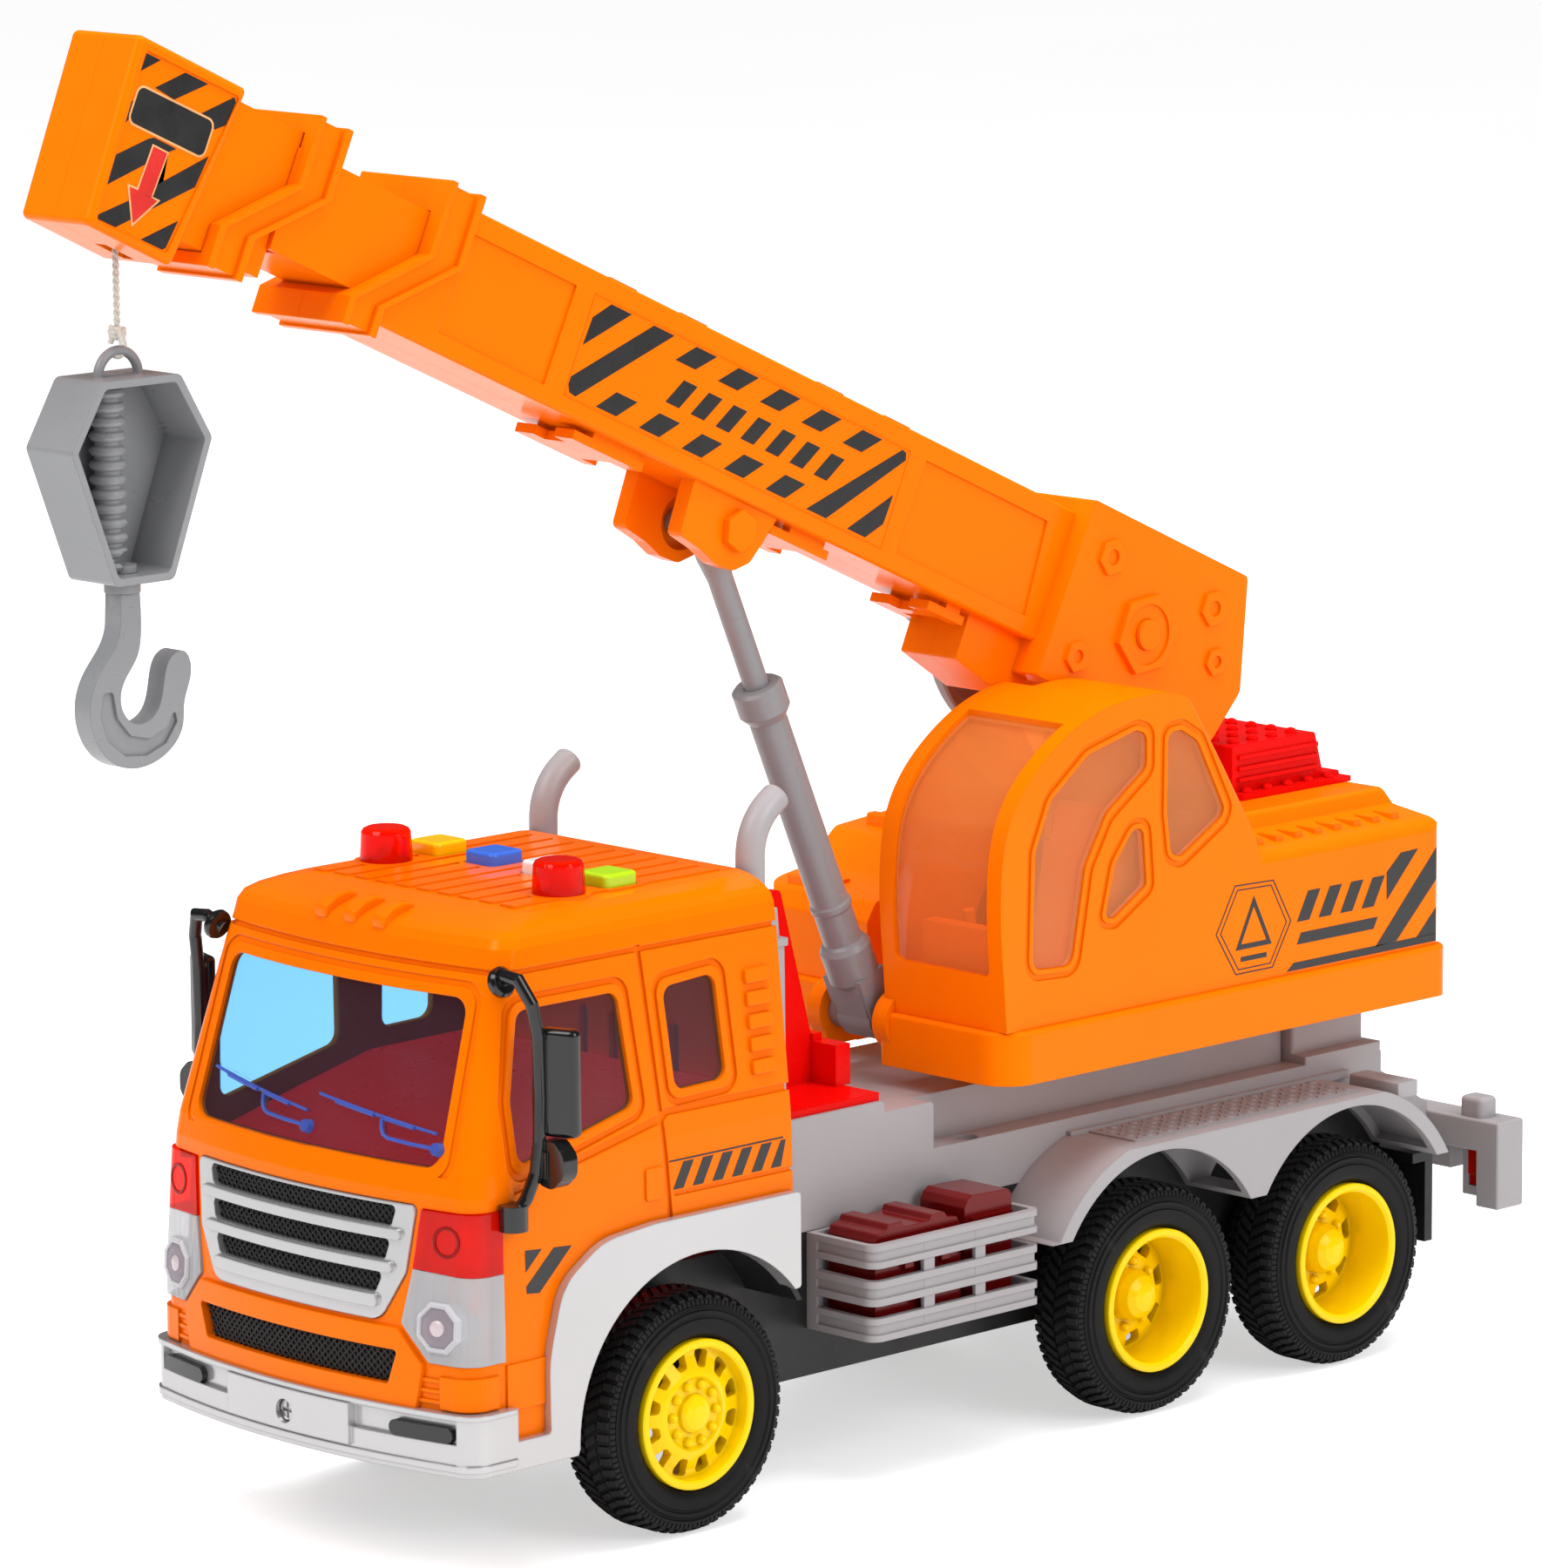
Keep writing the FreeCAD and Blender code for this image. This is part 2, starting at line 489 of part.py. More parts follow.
# step under the roof fairing and the door seams
grooves.append(deep_skin.common(box(-70, -90, 135.4, 70, 40, 136.6)))
grooves.append(deep_skin.common(prism_x(
    [(-12.8, 137.0), (-11.4, 137.0), (-6.6, 74.0), (-8.0, 74.0)], -70, 70)))
# groove along the waist, and a shallow crease lower down
waist = prism_x([(-54.5, 87.4), (-8.4, 96.6), (-7.0, 97.9), (31.5, 97.9), (31.5, 99.6),
                 (-7.4, 99.6), (-10.0, 98.4), (-54.5, 89.0)], -70, 70)
grooves.append(deep_skin.common(waist).common(fuse(both(box(40, -56, 80, 70, 40, 110)))))
grooves.append(shallow_skin.common(prism_x(rect(-6.0, 79.4, 31.5, 80.3), -70, 70)))
shell = shell.cut(grooves)

# raised details: door handles, louvres, sill strakes, corner blocks with ribs
proud_055, proud_08, proud_10 = [cab_skin(height, -0.6) for height in (0.55, 0.8, 1.0)]
sides = fuse(both(box(40, -90, 20, 70, 60, 160)))
raised = [proud_055.common(prism_x(rect(-15.0, 79.6, -9.6, 87.0), -70, 70, 0.8)).common(sides)]
for k in range(5):
    z = 103.1 + 5.2 * k
    louvre = prism_x([(19.7 - 0.1 * k, z), (26.8, z), (26.8, z + 3.2), (19.7 - 0.1 * k, z + 3.2)],
                     -70, 70, 0.6)
    raised.append(proud_10.common(louvre).common(sides))
for z0, z1 in ((31.0, 32.4), (39.2, 40.6), (48.4, 49.8), (39.2, 49.0)):
    strake = prism_x(rect(-58.0, z0, -42.0, z1), -70, 70)
    raised.append(proud_055.common(strake).common(sides))
block = proud_08.common(box(44.6, -90, 40.6, 70, -60.5, 48.0))
for z in (41.6, 44.0, 46.4):
    block = block.fuse(proud_055.common(box(36.0, -90, z, 45.5, -60, z + 0.9)))
raised += both(block)
# proud hexagon between the lamps, above the bumper
hexagon = prism_y([(-38.5, 40.0), (38.5, 40.0), (40.5, 50.0), (33.5, 57.6), (-33.5, 57.6),
                   (-40.5, 50.0)], -100, -50, [0, 0, 1.0, 1.5, 1.5, 1.0])
raised.append(cab_skin(1.3, -3.0).common(hexagon).common(front_zone))
shell = fuse([shell] + raised)
# roof: ribs and three small marker bumps
roof = [prism_z(rect(x - 2.6, -37.0, x + 2.6, 26.5), 146.5, 147.5, 0.8)
        for x in (-31.5 + 7.0 * k for k in range(10))]
for x in (-9.7, 0.0, 9.7):
    bump = prism_x([(-50.0, 141.4), (-56.2, 141.6), (-56.2, 144.8), (-53.4, 146.5),
                    (-49.6, 147.3), (-46.6, 146.8), (-46.2, 144.8)], x - 2.0, x + 2.0,
                   [0, 1.4, 1.8, 2.0, 1.6, 0.8, 0])
    roof.append(soft(bump, 0.9, lambda edge: abs(abs(edge.CenterOfMass.x - x) - 2.0) < 0.02))
shell = fuse([shell] + roof)
# lower mesh opening, grille pocket and lamp pockets in the nose
shell = shell.cut([prism_y(LOWER, -90, -60, 0.8).cut(cab_body(-1.2)),
                   prism_y(GRILLE, -90, -60, GRILLE_CORNERS).cut(cab_body(-1.6))])
lamp_pocket = fuse([prism_y(LAMP, -90, -58.4).cut(cab_body(-3.0)),
                    box(44.0, -75.0, 50.6, 60.0, -61.0, 84.8).cut(cab_body(-3.0))])
shell = shell.cut(both(lamp_pocket))
# button and beacon seats with their holes
shell = fuse([shell] + [prism_z(square(x, BUTTON_Y, 6.6), 145.2, 147.45, 2.2) for x in BUTTON_X]
             + both(cylz(7.4, 145.4, 147.5, *BEACON)))
shell = shell.cut([prism_z(square(x, BUTTON_Y, 5.15), 140, 150, 1.7) for x in BUTTON_X]
                  + both(cylz(5.3, 140, 150, *BEACON)))
shell = clean(shell)

# ================================================================ silver bumper, arches
SCREW_Z = 33.6    # bumper screw
bumper_hollow = nose_slab(-74.0, 51.0, 20.0, 60.0)
ring = nose_slab(-76.6, NOSE_HALF, 26.0, 40.2, -40.0).cut(bumper_hollow)
ring = ring.common(fuse([box(-70, -100, 26, 70, -56.5, 40.2), box(-70, -57, 26, 70, -40.2, 32.6)]))
groove = nose_slab(-80.0, 60.0, 33.4, 38.6).cut(nose_slab(-75.2, 53.6, 30, 42))
ring = ring.cut(groove.common(box(-50.0, -90, 30, 50.0, -60, 42)))
plate = nose_slab(-77.6, 54.0, 29.4, 38.9, -60.0).cut(nose_slab(-74.2, 52.0, 20, 60))
bumper = [ring, plate.common(box(-20.6, -90, 29.4, 20.6, -60, 38.9))]
for z0, z1, clip0, clip1 in ((39.0, 40.2, 38, 41), (27.2, 28.8, 26, 31)):
    lip = nose_slab(-77.1, 55.3, z0, z1, -57.0).cut(bumper_hollow)
    bumper.append(lip.common(box(-70, -90, clip0, 70, -57, clip1)))


def wheel_arch():
    """Left arch plate round the front wheel, with a deeper inner rim."""
    outer = [(-55.4, 26.0), (-55.4, 32.6), (-46.6, 32.2), (-46.8, 50.0), (-42.5, 65.5),
             (-30.0, 73.6), (-14.0, 75.0), (31.0, 75.0), (31.0, 52.4), (29.0, 52.4)]
    radii = [0, 0, 1.5, 36.0, 13.0, 19.0, 20.0, 1.2, 1.0, 0]
    low = arc_points(0, AXLE_Z, 38.0, 40.6, 181.0, 44)
    arch = prism_x(outer + low + [(-38.6, 26.0)], 52.6, NOSE_HALF, radii + [0] * (len(low) + 1))
    rim_outline = arc_points(0, AXLE_Z, 40.35, 38.5, 181.0, 44) + low[::-1]
    arch = arch.fuse(prism_x(rim_outline, 49.8, 54.0).common(box(40, -60, 26.0, 60, 31, 90)))
    return soft(arch, 1.1, lambda edge: near(edge.CenterOfMass.x, NOSE_HALF)
                and edge.CenterOfMass.z > 66.0)


bumper = fuse(bumper + both(wheel_arch()))
bumper = bumper.cut([cyl(2.7, (0, -90, SCREW_Z), (0, -72.0, SCREW_Z))])
bumper = clean(bumper.cut(shell).cut([frame]))
put("front_bumper", bumper)
fog_pad = prism_y(rect(31.9, 33.5, 49.1, 37.1), -90, -60, 1.75)
fog_pad = fog_pad.common(nose_slab(-76.9, 55.0, 30, 40, -50.0)).cut(
    nose_slab(-75.2, 53.6, 20, 60))
put("fog_pads", *[largest(pad.cut(bumper)) for pad in both(fog_pad)])
put("cab_shell", shell)

# ================================================================ grille, mesh
grille = cab_skin(0.6, -1.6).common(
    prism_y(grow(GRILLE, -0.15), -90, -60, GRILLE_CORNERS)).common(front_zone)
# (bottom z, top z, bottom half width, top half width)
grille_slots = [prism_y([(-low, z0), (low, z0), (high, z1), (-high, z1)], -90, -60, 1.2)
                for z0, z1, low, high in ((79.8, 84.6, 30.2, 31.6), (72.2, 77.0, 28.8, 30.2),
                                          (64.6, 69.4, 26.4, 28.6))]
grille = grille.cut(grille_slots)
slat_skin = cab_skin(1.6, -0.4)
grille = fuse([grille] + [slat_skin.common(prism_y(rect(-half, z0, half, z1), -90, -58, 1.1))
                          for z0, z1, half in ((77.2, 79.6, 33.6), (69.6, 72.0, 31.6),
                                               (61.4, 64.4, 27.6))])
grille = grille.cut(shell)
put("grille_surround", clean(grille))
upper_mesh = cab_skin(-0.9, -1.6).common(Part.makeCompound(grille_slots)).common(front_zone)
lower_mesh = cab_skin(-0.4, -1.2).common(prism_y(grow(LOWER, -0.1), -90, -60, 0.8)).cut(shell)
put("grille_mesh", *([part.cut(grille) for part in upper_mesh.Solids] + [largest(lower_mesh)]))

# ================================================================ front lamps
LED_X, LED_Z = 44.6, 58.6


def led_cyl(radius, y0, y1):
    return cyl(radius, (LED_X, y0, LED_Z), (LED_X, y1, LED_Z))


lens = cab_skin(0.7, -3.0).common(fuse([prism_y(grow(LAMP, -0.15), -90, -58.6),
                                        box(44.0, -75.0, 50.75, 60.0, -61.2, 84.65)]))
marker = largest(lens.common(prism_y([(30, 71.6), (62, 70.4), (62, 90), (30, 90)], -100, -50)))
headlamp = largest(lens.common(prism_y([(30, 71.45), (62, 70.25), (62, 40), (30, 40)],
                                       -100, -50)))
led = led_cyl(3.0, -69.0, -66.6).fuse(Part.makeSphere(3.0, Vec(LED_X, -69.0, LED_Z)))
led = led.fuse(led_cyl(4.6, -68.2, -66.6))
headlamp = headlamp.cut([led_cyl(5.0, -68.6, -60.0), led_cyl(3.4, -72.2, -66.0)])
led = largest(led.cut(headlamp).cut(shell).common(cab_body(-0.4)))
marker = largest(marker.cut([shell, bumper]))
headlamp = largest(headlamp.cut([shell, bumper, led]))
put("marker_lenses", *both(marker))
put("headlamp_lenses", *both(headlamp))

# ================================================================ cab glazing, interior
glazing = cab_body(-2.05, (88.0, 134.0)).cut(cab_body(-3.1)).common(
    box(-60, -90, 88.0, 60, 27.0, 134.0))
pane_skin = cab_skin(-1.0, -2.2)
glazing = glazing.fuse(
    [pane_skin.common(prism_y(grow(WINDSCREEN, -0.12), -90, -20, 3.9))]
    + [pane_skin.common(prism_x(grow(window, -0.12), -70, 70, 2.9)) for window in SIDE_WINDOWS])
wipers = []
for x in (-36.2, 3.0):
    blade = prism_y([(x, 104.8), (x + 36.2, 100.7), (x + 36.2, 101.5), (x, 105.6)], -90, -50)
    bridge = prism_y([(x + 7.0, 103.7), (x + 28.0, 101.3), (x + 28.0, 102.5), (x + 7.0, 104.9)],
                     -90, -50)
    arm = prism_y([(x + 20.2, 102.6), (x + 21.2, 102.6), (x + 22.4, 99.6), (x + 37.0, 98.3),
                   (x + 37.0, 97.5), (x + 21.6, 98.7)], -90, -50)
    wipers.append(cab_skin(-0.3, -1.2).common(fuse([blade, bridge, arm])).common(front_zone))
    pivot = cyl(1.3, (x + 36.9, -80, 97.9), (x + 36.9, -60, 97.9))
    wipers.append(pivot.common(cab_body(0.4)).cut(cab_body(-1.2)))
glazing = clean(glazing.fuse(wipers).cut(shell))
put("cab_glazing", glazing)

# moulded inner tub: flat top behind, falling towards the screen, open underneath
interior = cab_body(-3.3, (62.0, 110.0)).common(prism_x(
    [(-66.0, 82.0), (-58.0, 86.0), (-34.0, 92.4), (-8.5, 98.8), (25.0, 99.2), (25.0, 60.0),
     (-66.0, 60.0)], -60, 60, [0, 4.0, 14.0, 10.0, 2.5, 0, 0]))
interior = interior.cut([prism_x([(-40.0, 66.0), (-40.0, 88.2), (-34.0, 90.0), (-8.5, 96.4),
                                  (21.0, 97.0), (21.0, 66.0)], -44, 44),
                         box(-30, -32, 58, 30, 12, 67)])
interior = interior.cut(both(cylx(46.0, 29.0, 60.0, 0, AXLE_Z)))
interior = interior.cut([shell, glazing, frame, box(-29.0, -70, 40, 29.0, 40, 64.0)])
interior = clean(interior)
put("cab_interior", interior)

# ================================================================ roof electronics
board = fuse([prism_z(rect(-35.0, -26.0, 35.0, 8.0), 137.6, 139.2, 1.5),
              box(-20, -24, 136.2, -10, -14, 137.7), box(2, -22, 136.6, 8, -14, 137.7),
              box(-30, 3.0, 136.4, 30, 6.0, 137.7)]
             + [cylz(1.6, 139.0, 144.6, x, y) for x, y in ((-19, -22), (19, -22), (0, 5.6))])
board = clean(board.cut([shell, glazing, interior]))
put("circuit_board", board)
BUTTON_TOP = 150.4
for name, x in zip(BUTTON_NAMES, BUTTON_X):
    button = prism_z(square(x, BUTTON_Y, 5.0), 142.0, BUTTON_TOP, 1.6)
    button = soft(button, 0.9, lambda edge: near(edge.CenterOfMass.z, BUTTON_TOP))
    button = button.fuse(box(x - 5.9, BUTTON_Y - 5.9, 142.0, x + 5.9, BUTTON_Y + 5.9, 143.2))
    button = button.cut(box(x - 3.9, BUTTON_Y - 3.9, 141.0, x + 3.9, BUTTON_Y + 3.9, 148.4))
    button = button.fuse(cylz(1.5, 141.2, 149.0, x, BUTTON_Y))
    put("button_" + name, clean(button.cut(board)))
put("beacon_lenses", *both(rev_z(
    [(0, 153.0), (4.2, 153.0), (4.6, 152.6), (4.9, 147.5), (4.9, 144.0), (5.2, 144.0),
     (5.2, 147.5), (6.1, 147.5), (6.1, 147.9), (5.75, 154.0), (5.3, 154.8), (4.4, 155.2),
     (0, 155.2)], *BEACON)))
beacon_led = rev_z([(0, 139.2), (2.4, 139.2), (2.4, 148.4), (2.0, 149.9), (1.1, 150.8),
                    (0, 151.1)], *BEACON)
put("lamp_leds", *(both(led) + both(beacon_led)))
speaker = rev_z([(0, 28.0), (9.0, 28.0), (9.0, 33.0), (13.0, 36.0), (13.0, 37.4), (11.8, 37.4),
                 (6.0, 33.8), (3.0, 34.8), (0, 35.4)], 0, 18.0)
put("speaker", largest(speaker.cut(frame)))

# ================================================================ exhausts behind the cab
PIPE_X, PIPE_Y, PIPE_R = 34.8, 35.0, 3.4
BEND_Z, BEND_R, BEND_ANGLE = 149.0, 14.0, 56


def exhaust():
    """Left column of the frame with its stack, which bends backwards at the top."""
    column = fuse([
        prism_y([(40.0, 85.0), (44.8, 85.0), (44.4, 131.0), (40.0, 131.0)],
                CAB_REAR, CAB_REAR + 5.4, 0.4),
        prism_y([(40.4, 130.0), (44.0, 130.0), (43.2, 138.4), (40.4, 138.4)],
                CAB_REAR, CAB_REAR + 4.4, 0.4),
        box(39.6, CAB_REAR, 129.6, 44.8, CAB_REAR + 6.2, 131.4)])
    circle = Part.makeCircle(PIPE_R, Vec(PIPE_X, PIPE_Y, BEND_Z), Vec(0, 0, 1))
    bend_y = PIPE_Y + BEND_R
    stack = Part.Face(Part.Wire([circle])).revolve(
        Vec(0, bend_y, BEND_Z), Vec(1, 0, 0), -BEND_ANGLE)
    cosine, sine = math.cos(math.radians(BEND_ANGLE)), math.sin(math.radians(BEND_ANGLE))
    end_y, end_z = bend_y - BEND_R * cosine, BEND_Z + BEND_R * sine
    tip = cyl(PIPE_R, (PIPE_X, end_y, end_z), (PIPE_X, end_y + 3.6 * sine, end_z + 3.6 * cosine))
    tip = soft(tip, 1.3, lambda edge: edge.CenterOfMass.z > end_z + 1.5
               and edge.Curve.TypeId == "Part::GeomCircle")
    stack = stack.fuse([cylz(PIPE_R, 86.0, BEND_Z, PIPE_X, PIPE_Y), tip])
    clamps = [cylz(4.4, z, z + 1.4, PIPE_X, PIPE_Y) for z in (92.0, 112.0, 132.0)]
    return fuse([column, stack] + clamps)


back_frame = [prism_y([(-44.0, 85.0), (44.0, 85.0), (43.0, 131.0), (41.0, 138.4), (-41.0, 138.4),
                       (-43.0, 131.0)], CAB_REAR, CAB_REAR + 2.2, 0.8)]
back_frame += both(exhaust())
back_frame.append(box(-39.0, CAB_REAR, 85.0, 39.0, CAB_REAR + 3.4, 88.0))
back_frame = fuse(back_frame).cut([shell])
put("exhaust_frame", clean(back_frame))

# ================================================================ tool rack, baskets, boxes
rack = [prism_z(rect(-32.0, 38.0, 32.0, 79.4), 85.0, 86.8, 0.8),
        box(-28.0, 41.4, 86.0, 28.0, 44.0, 128.0)]
for x in (9.0, -11.6):
    rack.append(prism_x([(42.0, 86.0), (77.0, 86.0), (77.0, 97.4), (67.0, 134.0), (42.0, 134.0)],
                        x, x + 2.6, [0, 0, 0.5, 1.5, 1.0]))
rack += [box(-20.0, 76.6, 86.0, 20.0, 81.4, 96.6).cut(box(-19, 77.0, 96.0, -3.0, 83, 98)),
         box(-20.0, 76.6, 96.0, -9.0, 79.0, 98.4), box(9.0, 76.6, 96.0, 12.5, 79.4, 98.4)]
rack = fuse(rack).cut([box(-20.6, 76.6, 82.0, 20.6, 84.0, 85.0),
                       box(-40, 79.4, 80, 40, 84, 86.85)])
put("tool_rack", clean(rack.cut(back_frame).cut(bed)))


def basket():
    """Left side basket: floor, three grooved rails, two posts and an inner wall."""
    x0, x1, y0, y1, bottom, top = FRAME_HALF, 55.0, 54.0, 109.4, 35.0, 57.9
    corners = [0, 3.4, 2.2, 0]
    parts = [prism_z(rect(x0, y0, x1, y1), bottom, bottom + 1.6, corners)]
    for z0, z1 in ((35.0, 40.5), (43.4, 49.3), (52.3, 57.9)):
        middle = (z0 + z1) / 2
        room = prism_z(rect(x0 - 1, y0 + 1.8, x1 - 1.8, y1 - 1.8), z0 - 1, z1 + 1,
                       [0, 2.2, 1.2, 0])
        groove = prism_z(rect(x0 - 2, y0 - 2, x1 + 2, y1 + 2), middle - 1.2, middle + 1.2,
                         [0, 5.0, 4.0, 0])
        groove = groove.cut(prism_z(rect(x0 - 1, y0 + 0.55, x1 - 0.55, y1 - 0.55),
                                    middle - 2, middle + 2, [0, 3.0, 1.8, 0]))
        parts.append(prism_z(rect(x0, y0, x1, y1), z0, z1, corners).cut([room, groove]))
    for post_y0, post_y1 in ((71.0, 74.5), (88.0, 91.3)):
        parts.append(box(x1 - 1.6, post_y0, bottom, x1 - 0.5, post_y1, top - 0.5))
    parts.append(box(x0, y0, bottom, x0 + 3.4, y0 + 1.8, top))
    parts.append(box(x0, y1 - 1.8, bottom, x0 + 3.0, y1, top))
    parts.append(box(x0, y0, bottom, x0 + 1.4, y1, top))
    return largest(fuse(parts))


put("side_baskets", *both(largest(basket().cut([bed, frame]))))

# two boxes standing in each basket
LONG_X, SHORT_X = 51.6, 50.6    # their outer faces
long_box = prism_x([(58.0, 36.8), (86.0, 36.8), (86.0, 57.4), (84.6, 59.6), (81.4, 60.0),
                    (80.6, 61.4), (76.4, 61.4), (75.6, 60.0), (67.4, 60.0), (66.6, 61.4),
                    (62.4, 61.4), (61.6, 60.0), (59.0, 59.4), (58.0, 57.4)], 36.0, LONG_X, 0.7)
long_box = long_box.fuse([box(51.4, 58.6, 54.6, 52.6, 85.4, 56.2)]
                         + [prism_y(rect(51.0, 50.0, 52.8, 57.4), y, y + 2.8, 0.5)
                            for y in (66.6, 78.6)])
long_box = soft(long_box, 0.9, lambda edge: near(edge.CenterOfMass.x, LONG_X)
                and edge.CenterOfMass.z > 57.0)
short_box = prism_x([(88.4, 36.8), (104.0, 36.8), (104.0, 61.6), (103.0, 63.0), (91.0, 63.4),
                     (89.4, 62.4), (88.4, 60.6)], 36.0, SHORT_X, 0.8)
short_box = short_box.fuse([box(50.4, 90.0, 56.8, 51.6, 103.4, 58.2),
                            cylx(2.6, 50.0, 51.8, 96.4, 55.0)])
short_box = soft(short_box, 0.9, lambda edge: near(edge.CenterOfMass.x, SHORT_X)
                 and edge.CenterOfMass.z > 60.0)
put("toolboxes", *both(largest(long_box), largest(short_box)))

# ================================================================ mirrors
ARM_PATH = [Vec(*point) for point in (
    (47.0, -53.2, 134.2), (50.5, -54.8, 136.6), (54.4, -54.6, 136.2), (57.0, -53.0, 131.0),
    (57.6, -51.8, 124.0), (57.6, -51.4, 110.0), (57.6, -51.8, 100.0), (57.2, -52.6, 93.0),
    (56.0, -54.2, 87.6), (54.6, -56.4, 83.6))]


def wing_mirror():
    """Left mirror: mitred round arm, tall upper head, small lower head, foot."""
    section = Part.makeCircle(1.5, ARM_PATH[0], ARM_PATH[1] - ARM_PATH[0])
    arm = Part.makePolygon(ARM_PATH).makePipeShell([Part.Wire([section])], True, False, 1)
    flange = rev_z([(0, -1.2), (3.2, -1.2), (3.5, -0.6), (3.5, 0.4), (2.9, 1.2), (0, 1.2)], 0, 0)
    flange.rotate(Vec(0, 0, 0), Vec(0, 1, 0), 70)
    flange.translate(Vec(48.2, -53.8, 134.8))
    head = prism_z([(56.4, -51.6), (65.4, -48.2), (64.6, -44.6), (55.8, -47.6)],
                   101.0, 125.4, 1.7)
    head = soft(head, 1.4, lambda edge: near(edge.CenterOfMass.z, 125.4, 101.0))
    neck = box(56.2, -52.4, 104.0, 59.0, -48.0, 123.0)
    low = prism_y([(57.0, 90.4), (61.4, 89.6), (65.2, 93.0), (65.2, 97.6), (62.0, 100.6),
                   (57.0, 100.4)], -51.6, -47.4, [1.5, 3, 3, 3, 3, 1.5])
    low = low.fuse(box(56.6, -52.2, 92.0, 60.0, -48.4, 98.0))
    foot = cylz(3.3, 80.4, 86.2, 54.4, -56.8)
    link = box(50.0, -58.0, 81.6, 54.2, -55.4, 85.0)
    return largest(fuse([arm, flange, head, neck, low, foot, link]).cut([shell, marker, glazing]))


put("mirrors", *both(wing_mirror()))

# ================================================================ drive gears
SHAFT_R, SHAFT_BORE = 1.5, 1.56


def gear(teeth, x0, x1, y, z, phase):
    """Module 1 gear about an X line; phase is the angle of its first tooth."""
    pitch = teeth / 2.0
    tip, root = pitch + 0.78, pitch - 1.2
    half_tooth = 0.40 * 180.0 / teeth
    points = []
    for k in range(teeth):
        for radius, turn in ((root, -1.32), (pitch, -1), (tip, -0.42),
                             (tip, 0.42), (pitch, 1), (root, 1.32)):
            points.append(polar(y, z, radius, phase + 360.0 * k / teeth + turn * half_tooth))
    return prism_x(points, x0, x1)


second = polar(MID_AXLE_Y, AXLE_Z, 15.12, 40)    # second shaft (y, z)
third = (second[0] + 17.12, second[1])
put("axle_gear", gear(20, -9.0, -5.0, MID_AXLE_Y, AXLE_Z, 40.0).cut(
    cylx(AXLE_R, -10.0, -4.0, MID_AXLE_Y, AXLE_Z)))
# pinion and wheel of the compound gear share a hub
compound = fuse([gear(10, -9.2, -4.0, *second, 238.0), gear(24, -3.6, -0.4, *second, 0.0),
                 cylx(3.2, -4.2, -3.2, *second)])
put("compound_gear", largest(compound.cut(cylx(SHAFT_BORE, -20, 20, *second))))
flywheel = fuse([gear(10, -3.8, 1.0, *third, 198.0), cylx(3.4, 0.8, 2.2, *third),
                 cylx(9.6, 2.0, 8.0, *third)])
put("flywheel", largest(flywheel.cut(cylx(SHAFT_BORE, -20, 20, *third))))
gearbox = fuse([box(-14.0, 140.0, 25.7, -12.2, 192.0, 53.6),
                box(10.4, 140.0, 25.7, 12.2, 192.0, 53.6),
                box(-14.0, 190.2, 25.7, 12.2, 192.0, 53.6),
                box(-14.0, 140.0, 51.8, 12.2, 192.0, 53.6),
                cylx(SHAFT_R, -13.0, 11.0, *second), cylx(SHAFT_R, -13.0, 11.0, *third)])
gearbox = gearbox.cut([cylx(2.3, -20, 20, MID_AXLE_Y, AXLE_Z),
                       box(-16, 149.3, 20, 16, 154.1, AXLE_Z)])
put("gearbox_cover", clean(gearbox.cut([frame, bed])))

# underside screws and the bumper screw
HEAD_Z = FRAME_BOT - 2.0
screws = []
for x, y in SCREW_PLACES:
    screw = rev_z([(0, HEAD_Z + 0.6), (0.9, HEAD_Z + 0.6), (0.9, HEAD_Z), (3.0, HEAD_Z),
                   (3.2, FRAME_BOT - 0.6), (3.2, FRAME_BOT), (1.5, FRAME_BOT), (1.5, 44.0),
                   (0, 45.5)], x, y)
    screws.append(screw.cut([box(x - a, y - b, HEAD_Z - 1.0, x + a, y + b, HEAD_Z + 1.0)
                             for a, b in ((2.2, 0.4), (0.4, 2.2))]))
screw = cyl(2.4, (0, -76.4, SCREW_Z), (0, -75.0, SCREW_Z)).fuse(
    cyl(1.3, (0, -75.2, SCREW_Z), (0, -70.0, SCREW_Z)))
screw = screw.cut([box(-1.8, -80, 33.25, 1.8, -75.7, 33.95),
                   box(-0.35, -80, 31.8, 0.35, -75.7, 35.4)])
screws.append(largest(screw.cut([bumper, shell])))
put("case_screws", *screws)

# ================================================================ turntable base
# (x, y) plan of the skirt
SKIRT = [(52.0, 101.0), (52.0, 258.0), (-52.0, 258.0), (-52.0, 117.0), (-13.6, 117.0),
         (-13.6, 124.0), (10.0, 124.0), (10.0, 101.0)]
base = prism_z(SKIRT, SKIRT_BOT, SKIRT_TOP, [9.0, 4.6, 4.6, 12.0, 0.0, 0.0, 0.0, 1.2])
base = soft(base, 1.1, lambda edge: near(edge.CenterOfMass.z, SKIRT_TOP))
base = base.cut([prism_z(grow(SKIRT, -4.4), 91.0, 110.0, [6.0, 2.0, 2.0, 9.0, 0, 0, 0, 0.5]),
                 prism_z(grow(SKIRT, -3.0), 80.0, 88.5, [6.5, 2.5, 2.5, 9.5, 0, 0, 0, 0.5])])
ram_sockets = [cylx(7.3, 8.8, 13.4, RAM_Y, RAM_Z), cylx(7.3, -13.4, -8.8, RAM_Y, RAM_Z),
               prism_x([(RAM_Y - 7.3, RAM_Z), (RAM_Y - 4.0, 88.6), (126.0, 88.6), (126.0, 104.0),
                        (RAM_Y, 104.3)], -13.4, -8.8)]
base = fuse([base] + ram_sockets)
